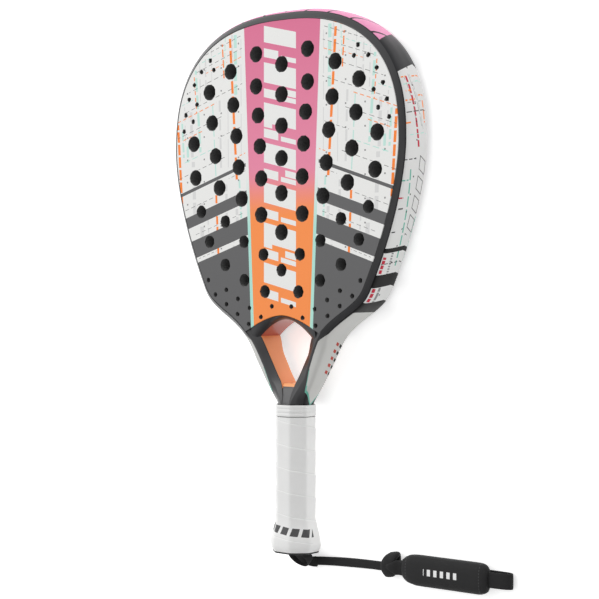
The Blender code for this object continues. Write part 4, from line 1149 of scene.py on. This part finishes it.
def build_webbing(colours, shape):
    """The strap's flat webbing: the fold at the butt, two strands that lie together, and the wrist loop."""
    finish = webbing_finish(colours)
    thick = shape.webbing_thickness
    path = smooth_line(HITCH_ROUTE, 90) * MM
    width = 7.0 * MM
    lean = np.sin(np.linspace(0, math.pi, len(path)))[:, None] ** 2
    side = unit(np.array((0, 0, 1.0)) * (1 - 0.5 * lean) + np.array((-0.35, -0.85, 0.2)) * lean * 0.8)
    hitch = ribbon("hitch_fold", path, width, thick, side)
    settle(hitch, finish, RACKET, "strap_webbing", "strap_hitch")
    tucked = smooth_line(TUCK_ROUTE, 60) * MM
    turn = np.linspace(0, 1, len(tucked))[:, None]
    side = unit(np.array((1.0, 0.35, 0.3)) * (1 - turn) ** 1.5 + np.array((0, 1.0, 0)) * turn)
    tuck = ribbon("hitch_tuck", tucked, 7.8 * MM, thick, side)
    settle(tuck, finish, RACKET, "strap_webbing", "strap_hitch")
    knot = build_knot(colours)
    route = smooth_line(STRAND_ROUTE, 90) * MM
    for name, lift, with_pieces in (("strand_lower", -0.85, []), ("strand_upper", 0.85, knot)):
        wave = np.sin(np.linspace(0, 3 * math.pi, len(route))) * (0.15 if lift > 0 else 0) * MM
        path = route + np.stack([wave * 0, wave, np.full(len(route), lift * MM)], 1)
        path[:, 2] = np.maximum(path[:, 2], thick / 2 + 0.15 * MM)
        strand = ribbon(name, path, shape.strand_width, thick, (0, 1, 0))
        settle(strand, finish, STRAP, "strap_webbing", "strap_strands")
    path = smooth_line(LOOP_ROUTE, 170) * MM
    loop = ribbon("wrist_webbing", path, shape.loop_width, thick, (0, 1, 0))
    settle(loop, finish, STRAP, "strap_webbing", "wrist_loop")
    return loop


TUCK_ROUTE = (  # the strap's end, tucked through the fold and round the strands, in millimetres
    (0.5, -221.5, 18.0), (0.8, -225.5, 16.4), (2.6, -229.0, 13.4), (5.4, -231.6, 10.4), (8.4, -232.6, 8.0),
    (10.6, -232.9, 6.2), (11.4, -233.0, 4.4), (10.2, -232.8, 2.8), (7.0, -232.4, 2.0),
)
KNOT_MIDDLE = (90.0, STRAP_Y / MM + 1.2, 6.4)
KNOT_REACH = (8.2, 3.9)  # of the collar's middle line, across and up
KNOT_LEAN = 0.26  # how far the collar leans towards the pad over its height
TAIL_ROUTE = ((89, -226.6, 11.6), (92, -226.8, 12.2), (96, -227, 11.6), (100, -227, 10.2), (106, -227, 9.2))


def build_knot(colours):
    """The overhand knot: a fat collar of webbing, an ellipse across the strap that leans to the pad, and
    the tail that comes out of it as a flat band, folded to a point where it leaves the collar."""
    finish = webbing_finish(colours, "knotted webbing")
    angle = np.linspace(0, 2 * math.pi, 72, endpoint=False)
    across, up = KNOT_REACH[0] * np.cos(angle), KNOT_REACH[1] * np.sin(angle)
    bow = 1.6 * np.cos(angle) ** 2 - 0.8
    offset = np.stack([KNOT_LEAN * across + bow + 0.4 * np.sin(3 * angle), across, up], 1)
    path = (np.array(KNOT_MIDDLE) + offset) * MM
    width = (11.0 - 1.4 * np.cos(2 * angle)) * MM
    collar = ribbon("knot_collar", path, width, 5.0 * MM, (1, 0.2, 0), 32, closed=True, flatness=0.8)
    settle(collar, finish, STRAP, "strap_webbing", "strap_knot")
    path = smooth_line(TAIL_ROUTE, 48) * MM
    spread_out = np.clip(lengths(path) / (9 * MM), 0, 1)
    width = (2 + 10 * spread_out - 1.2 * np.clip(lengths(path) / (9 * MM) - 1, 0, 1)) * MM
    tail = ribbon("knot_tail", path, width, 3.2 * MM, (0, 1, 0), flatness=0.45)
    settle(tail, finish, STRAP, "strap_webbing", "strap_knot")
    return [collar, tail]


def build_pad(shape):
    """The wrist pad: a rounded sleeve whose half width and half height follow a soft profile along its
    length, blown up a little as cloth, with a sewn seam line along each side."""
    low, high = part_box("wrist_pad_cover")
    middle = (low + high) / 2 + LIFT
    half = (high - low) / 2 - Vector((0.3 * MM, 0.6 * MM, 0.6 * MM))
    t = np.concatenate([[0, 0.008, 0.025, 0.05], np.linspace(0.09, 0.91, 40), [0.95, 0.975, 0.992, 1.0]])
    near = np.sqrt(1 - (1 - np.clip(t / 0.2, 0, 1)) ** 2.2)
    far = np.sqrt(1 - (1 - np.clip((1 - t) / 0.12, 0, 1)) ** 2.4)
    wide = (0.44 + 0.56 * near) * (0.7 + 0.3 * far) * half.y
    tall = (0.5 + 0.5 * near) * (0.6 + 0.4 * far) * half.z
    angle = np.linspace(0, 2 * math.pi, 64, endpoint=False)
    c, s = np.cos(angle), np.sin(angle)
    x = middle.x - half.x + 2 * half.x * t
    y = middle.y + wide[:, None] * np.sign(c) * np.abs(c) ** 0.72
    z = middle.z + tall[:, None] * np.sign(s) * np.abs(s) ** 0.85
    points = np.stack([np.repeat(x[:, None], 64, 1), y, z], 2)
    pad = grid_mesh("wrist_pad_sleeve", points, sharp=180)
    puff(pad, shape.pad_swell, low, high)
    made = pad_finish(middle)
    settle(pad, made, PAD, "pad_neoprene", "wrist_pad_cover")
    return pad


def puff(pad, swell, low, high):
    """Cloth with pressure inside, remeshed at 2 mm. No point moves further than swell, or more than 0.4 mm
    out of the pad's box."""
    remesh = pad.modifiers.new("remesh", "REMESH")
    remesh.mode = "VOXEL"
    remesh.voxel_size = 2 * MM
    apply_modifiers(pad)
    rest = vertex_places(pad)
    cloth = pad.modifiers.new("cloth", "CLOTH")
    cloth.settings.quality = 5
    cloth.settings.mass = 0.1
    cloth.settings.tension_stiffness = 30
    cloth.settings.compression_stiffness = 12
    cloth.settings.bending_stiffness = 0.4
    cloth.settings.use_pressure = True
    cloth.settings.uniform_pressure_force = 4
    cloth.settings.effector_weights.gravity = 0
    scene = bpy.context.scene
    for step in range(1, 15):
        scene.frame_set(step)
    apply_modifiers(pad)
    scene.frame_set(1)
    moved = vertex_places(pad) - rest
    far = np.linalg.norm(moved, axis=1, keepdims=True)
    placed = rest + moved * np.minimum(1, swell / np.maximum(far, 1e-9))
    placed = np.clip(placed, np.array(low) - 0.4 * MM, np.array(high) + 0.4 * MM)
    pad.data.vertices.foreach_set("co", placed.astype(np.float32).ravel())
    smoother = pad.modifiers.new("smooth", "SMOOTH")
    smoother.iterations = 3
    subdivided = pad.modifiers.new("subdivision", "SUBSURF")
    subdivided.levels = subdivided.render_levels = 1
    apply_modifiers(pad)
    pad.data.shade_smooth()


def vertex_places(obj):
    co = np.empty(len(obj.data.vertices) * 3)
    obj.data.vertices.foreach_get("co", co)
    return co.reshape(-1, 3)


def apply_modifiers(obj):
    """Keeps the mesh as its modifiers leave it."""
    bpy.context.view_layer.update()
    made = bpy.data.meshes.new_from_object(obj.evaluated_get(bpy.context.evaluated_depsgraph_get()))
    obj.modifiers.clear()
    obj.data = made


def pad_finish(middle):
    """Jersey-faced neoprene: black, matt and soft, a fine knit, a sewn seam along both sides and near the
    ends, and a row of plain white bars where a print would be."""
    made, tree, shader = new_finish(
        "jersey-faced neoprene", IOR=1.45, Sheen_Weight=0.08, Sheen_Roughness=0.5, Roughness=0.8
    )
    place, x, y, z = object_place(tree)
    knit = both(tree, wave(tree, x, 1.1), wave(tree, y, 0.9))
    seam = stripe(tree, z, middle.z / MM - 0.45, middle.z / MM + 0.45)
    level = distance_from(tree, x, middle.x / MM)
    ends = stripe(tree, level, 36.2, 37.0)
    stitches = both(tree, stripe(tree, level, 34.4, 35.2), repeat(tree, y, 2.4, 0.6))
    height = add_node(tree, "Math", (knit, 0.12, 0.6), operation="MULTIPLY_ADD")
    height = add_node(tree, "Math", (either(tree, seam, ends), -0.5, height), operation="MULTIPLY_ADD")
    height = add_node(tree, "Math", (stitches, 0.4, height), operation="MULTIPLY_ADD")
    light = spread(tree, grain(tree, place, 7.0, 3.0), 0.8, 1.25)
    colour = add_node(tree, "Mix", {0: 1.0, 6: (*linear("#1c1c1d"), 1), 7: light}, **SHADE)
    colour = paint(tree, colour, linear("#3a3a3b"), stitches)
    mark_y = stripe(tree, y, middle.y / MM - 2.6, middle.y / MM + 2.6)
    on_top = stripe(tree, z, middle.z / MM, 99)
    marks = both(tree, mark_y, stripe(tree, level, -1, 17), repeat(tree, x, 6.2, 0.5), on_top)
    colour = paint(tree, colour, linear("#f0f0f0"), marks)
    tree.links.new(colour, shader.inputs["Base Color"])
    bump(tree, shader, height, 0.25 * MM, 0.7)
    return made


# Pieces that stay as the frame has them ---------------------------------------------------


def plain_finish(name, hex_colour, size, roughness, depth, **sockets):
    """A moulded or drawn surface with grain of the given size in millimetres."""
    made, tree, shader = new_finish(name, **sockets)
    place = object_place(tree)[0]
    texture = grain(tree, place, size, 3.0)
    light = spread(tree, texture, 0.85, 1.12)
    colour = add_node(tree, "Mix", {0: 1.0, 6: (*linear(hex_colour), 1), 7: light}, **SHADE)
    tree.links.new(colour, shader.inputs["Base Color"])
    tree.links.new(spread(tree, texture, roughness - 0.06, roughness + 0.08), shader.inputs["Roughness"])
    bump(tree, shader, texture, depth, 0.5)
    return made


def dress_hidden():
    """Finishes of the pieces inside the handle, the cap and the pad."""
    finishes = {
        "handle_pallet": foam_finish("rigid polyurethane foam", "#c9b98b", 1.5),
        "base_grip": plain_finish("foamed polyurethane strip", "#d9d9d8", 1.2, 0.7, 0.1 * MM, IOR=1.48),
        "finishing_tape": plain_finish("vinyl tape", "#e2e2e2", 3.0, 0.4, 0.02 * MM, IOR=1.5),
        "strap_bar": plain_finish("drawn steel", "#b9b9bb", 0.6, 0.3, 0.01 * MM, Metallic=1.0),
        "wrist_pad_foam": foam_finish("soft foam strip", "#3a3a3a", 1.0),
    }
    for node, finish in finishes.items():
        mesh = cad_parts[node].data
        mesh.materials.clear()
        mesh.materials.append(finish)


# Operators --------------------------------------------------------------------------------


class PADEL_OT_faces(bpy.types.Operator):
    """Builds the two printed laminates with their drilled holes"""

    bl_idname = "padel.build_faces"
    bl_label = "Faces"

    def execute(self, context):
        colours, shape, _ = settings()
        outline, holes = face_outline(), drilled_holes()
        print_ = face_lacquer(colours)
        edge = foam_finish("cut laminate edge", "#4a4a4a", 0.8)
        for name, node in (("face_front", "skin_front"), ("face_rear", "skin_rear")):
            low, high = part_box(node)
            obj = drilled_plate(name, outline, holes, low.z, high.z, shape.hole_chamfer, shape.hole_sides)
            settle(obj, print_, RACKET, "sanded_skin", node)
            obj.data.materials.append(edge)
            obj.data.polygons.foreach_set("material_index", np.array(obj["wall_faces"], np.int32))
            del obj["wall_faces"]
        return {"FINISHED"}


class PADEL_OT_core(bpy.types.Operator):
    """Builds the foam core with the same holes"""

    bl_idname = "padel.build_core"
    bl_label = "Core"

    def execute(self, context):
        _, shape, _ = settings()
        outline = face_outline()
        inset = outline - plan_outward(outline) * 0.8 * MM
        low_z, high_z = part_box("skin_rear")[1].z + 0.05 * MM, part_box("skin_front")[0].z - 0.05 * MM
        obj = drilled_plate("foam_core", inset, drilled_holes(), low_z, high_z, 0.05 * MM, shape.hole_sides)
        del obj["wall_faces"]
        settle(obj, foam_finish("closed-cell foam", "#6a6a6a", 1.6), RACKET, "eva_foam", "core_foam")
        return {"FINISHED"}


class PADEL_OT_frame(bpy.types.Operator):
    """Builds the moulded frame, the arch over the throat and the neck's filler"""

    bl_idname = "padel.build_frame"
    bl_label = "Frame and throat"

    def execute(self, context):
        colours, _, _ = settings()
        build_frame(colours)
        build_bridge(colours)
        build_wedge(colours)
        return {"FINISHED"}


class PADEL_OT_handle(bpy.types.Operator):
    """Builds the wound overgrip, the collar and the butt cap, and finishes what is inside the handle"""

    bl_idname = "padel.build_handle"
    bl_label = "Handle"

    def execute(self, context):
        colours, shape, _ = settings()
        build_grip(colours, shape)
        build_butt()
        dress_hidden()
        return {"FINISHED"}


class PADEL_OT_strap(bpy.types.Operator):
    """Builds the strap's webbing and its knot"""

    bl_idname = "padel.build_strap"
    bl_label = "Strap"

    def execute(self, context):
        colours, shape, _ = settings()
        build_webbing(colours, shape)
        return {"FINISHED"}


class PADEL_OT_pad(bpy.types.Operator):
    """Builds the padded sleeve on the wrist loop"""

    bl_idname = "padel.build_pad"
    bl_label = "Wrist pad"

    def execute(self, context):
        colours, shape, _ = settings()
        build_pad(shape)
        return {"FINISHED"}


class PADEL_OT_studio(bpy.types.Operator):
    """Builds the floor, the lights and the camera"""

    bl_idname = "padel.build_studio"
    bl_label = "Studio"

    def execute(self, context):
        _, _, studio = settings()
        build_camera()
        build_floor(studio)
        build_lights(studio)
        return {"FINISHED"}


def build_camera():
    """A long lens over the strap's side of the racket, level with its middle."""
    data = bpy.data.cameras.new("camera")
    data.lens = 97.64
    data.sensor_width = 36
    data.clip_end = 50
    camera = bpy.data.objects.new("camera", data)
    right = Vector((0.781432508, 0.00000642, -0.623989772))
    up = Vector((-0.00997849, 0.99987226, -0.01248594))
    back = right.cross(up)
    turned = Matrix((right, up, back)).transposed().to_4x4()
    camera.matrix_world = Matrix.Translation((0.85534, 0.00673, 1.08504)) @ turned
    bpy.context.scene.collection.objects.link(camera)
    bpy.context.scene.camera = camera


def build_floor(studio):
    bpy.ops.mesh.primitive_plane_add(size=12)
    floor = bpy.context.active_object
    floor.name = "floor"
    made, _, shader = new_finish("back-lit paper floor", Roughness=0.9, Specular_IOR_Level=0.0)
    shader.inputs["Base Color"].default_value = (*studio.floor, 1)
    shader.inputs["Emission Color"].default_value = (1, 1, 1, 1)
    shader.inputs["Emission Strength"].default_value = 0.55
    floor.data.materials.append(made)


BRIGHTEST_SKY = (-0.5, 0.55, 0.6)  # the way to the brightest part of the sky


def build_lights(studio):
    """A white sky, a large softbox over the head's left and a weaker one low on the right."""
    world = bpy.data.worlds.new("studio sky")
    world.use_nodes = True
    background = world.node_tree.nodes["Background"]
    background.inputs["Color"].default_value = (1, 1, 1, 1)
    # The sky is brightest over the head's left side and dimmest low behind the butt's right side.
    tree = world.node_tree
    way = add_node(tree, "TexCoord", out="Generated")
    towards = add_node(tree, "VectorMath", (way, BRIGHTEST_SKY), out="Value", operation="DOT_PRODUCT")
    steps = {"Value": towards, "From Min": -0.6, "From Max": 0.9, "To Min": 0.12, "To Max": 1.15}
    sky = add_node(tree, "MapRange", steps, interpolation_type="SMOOTHSTEP")
    sky = add_node(tree, "Math", (sky, studio.sky), operation="MULTIPLY")
    tree.links.new(sky, background.inputs["Strength"])
    bpy.context.scene.world = world
    bpy.context.scene.view_settings.view_transform = "Standard"
    for name, power, size, place, target in (
        ("key softbox", studio.key, 1.4, (-0.9, 0.8, 1.6), (0, 0.05, 0)),
        ("fill softbox", studio.key * 0.15, 1.2, (1.6, -0.5, 0.9), (0, 0, 0)),
    ):
        data = bpy.data.lights.new(name, "AREA")
        data.energy = power
        data.size = size
        lamp = bpy.data.objects.new(name, data)
        lamp.location = place
        lamp.rotation_euler = (Vector(target) - Vector(place)).to_track_quat("-Z", "Y").to_euler()
        bpy.context.scene.collection.objects.link(lamp)


class PADEL_PT_panel(bpy.types.Panel):
    """Sidebar panel with every setting and every step"""

    bl_label = "Padel racket"
    bl_idname = "PADEL_PT_panel"
    bl_space_type = "VIEW_3D"
    bl_region_type = "UI"
    bl_category = "Padel"

    def draw(self, context):
        for group in settings():
            box = self.layout.box()
            for name in group.__annotations__:
                box.prop(group, name)
        for step in STEPS:
            self.layout.operator(step.bl_idname)


GROUPS = {"padel_colours": PadelColours, "padel_shape": PadelShape, "padel_studio": PadelStudio}
STEPS = (
    PADEL_OT_studio, PADEL_OT_strap, PADEL_OT_pad, PADEL_OT_faces, PADEL_OT_core, PADEL_OT_frame,
    PADEL_OT_handle,
)


def register():
    for made in (*GROUPS.values(), *STEPS, PADEL_PT_panel):
        bpy.utils.register_class(made)
    for name, group in GROUPS.items():
        setattr(bpy.types.Scene, name, bpy.props.PointerProperty(type=group))


def unregister():
    for name in GROUPS:
        delattr(bpy.types.Scene, name)
    for made in (PADEL_PT_panel, *reversed(STEPS), *reversed(list(GROUPS.values()))):
        bpy.utils.unregister_class(made)


def main():
    """Builds everything."""
    register()
    bpy.ops.padel.build_studio()
    bpy.ops.padel.build_strap()
    bpy.ops.padel.build_pad()
    bpy.ops.padel.build_faces()
    bpy.ops.padel.build_core()
    bpy.ops.padel.build_frame()
    bpy.ops.padel.build_handle()


if __name__ == "__main__":
    main()
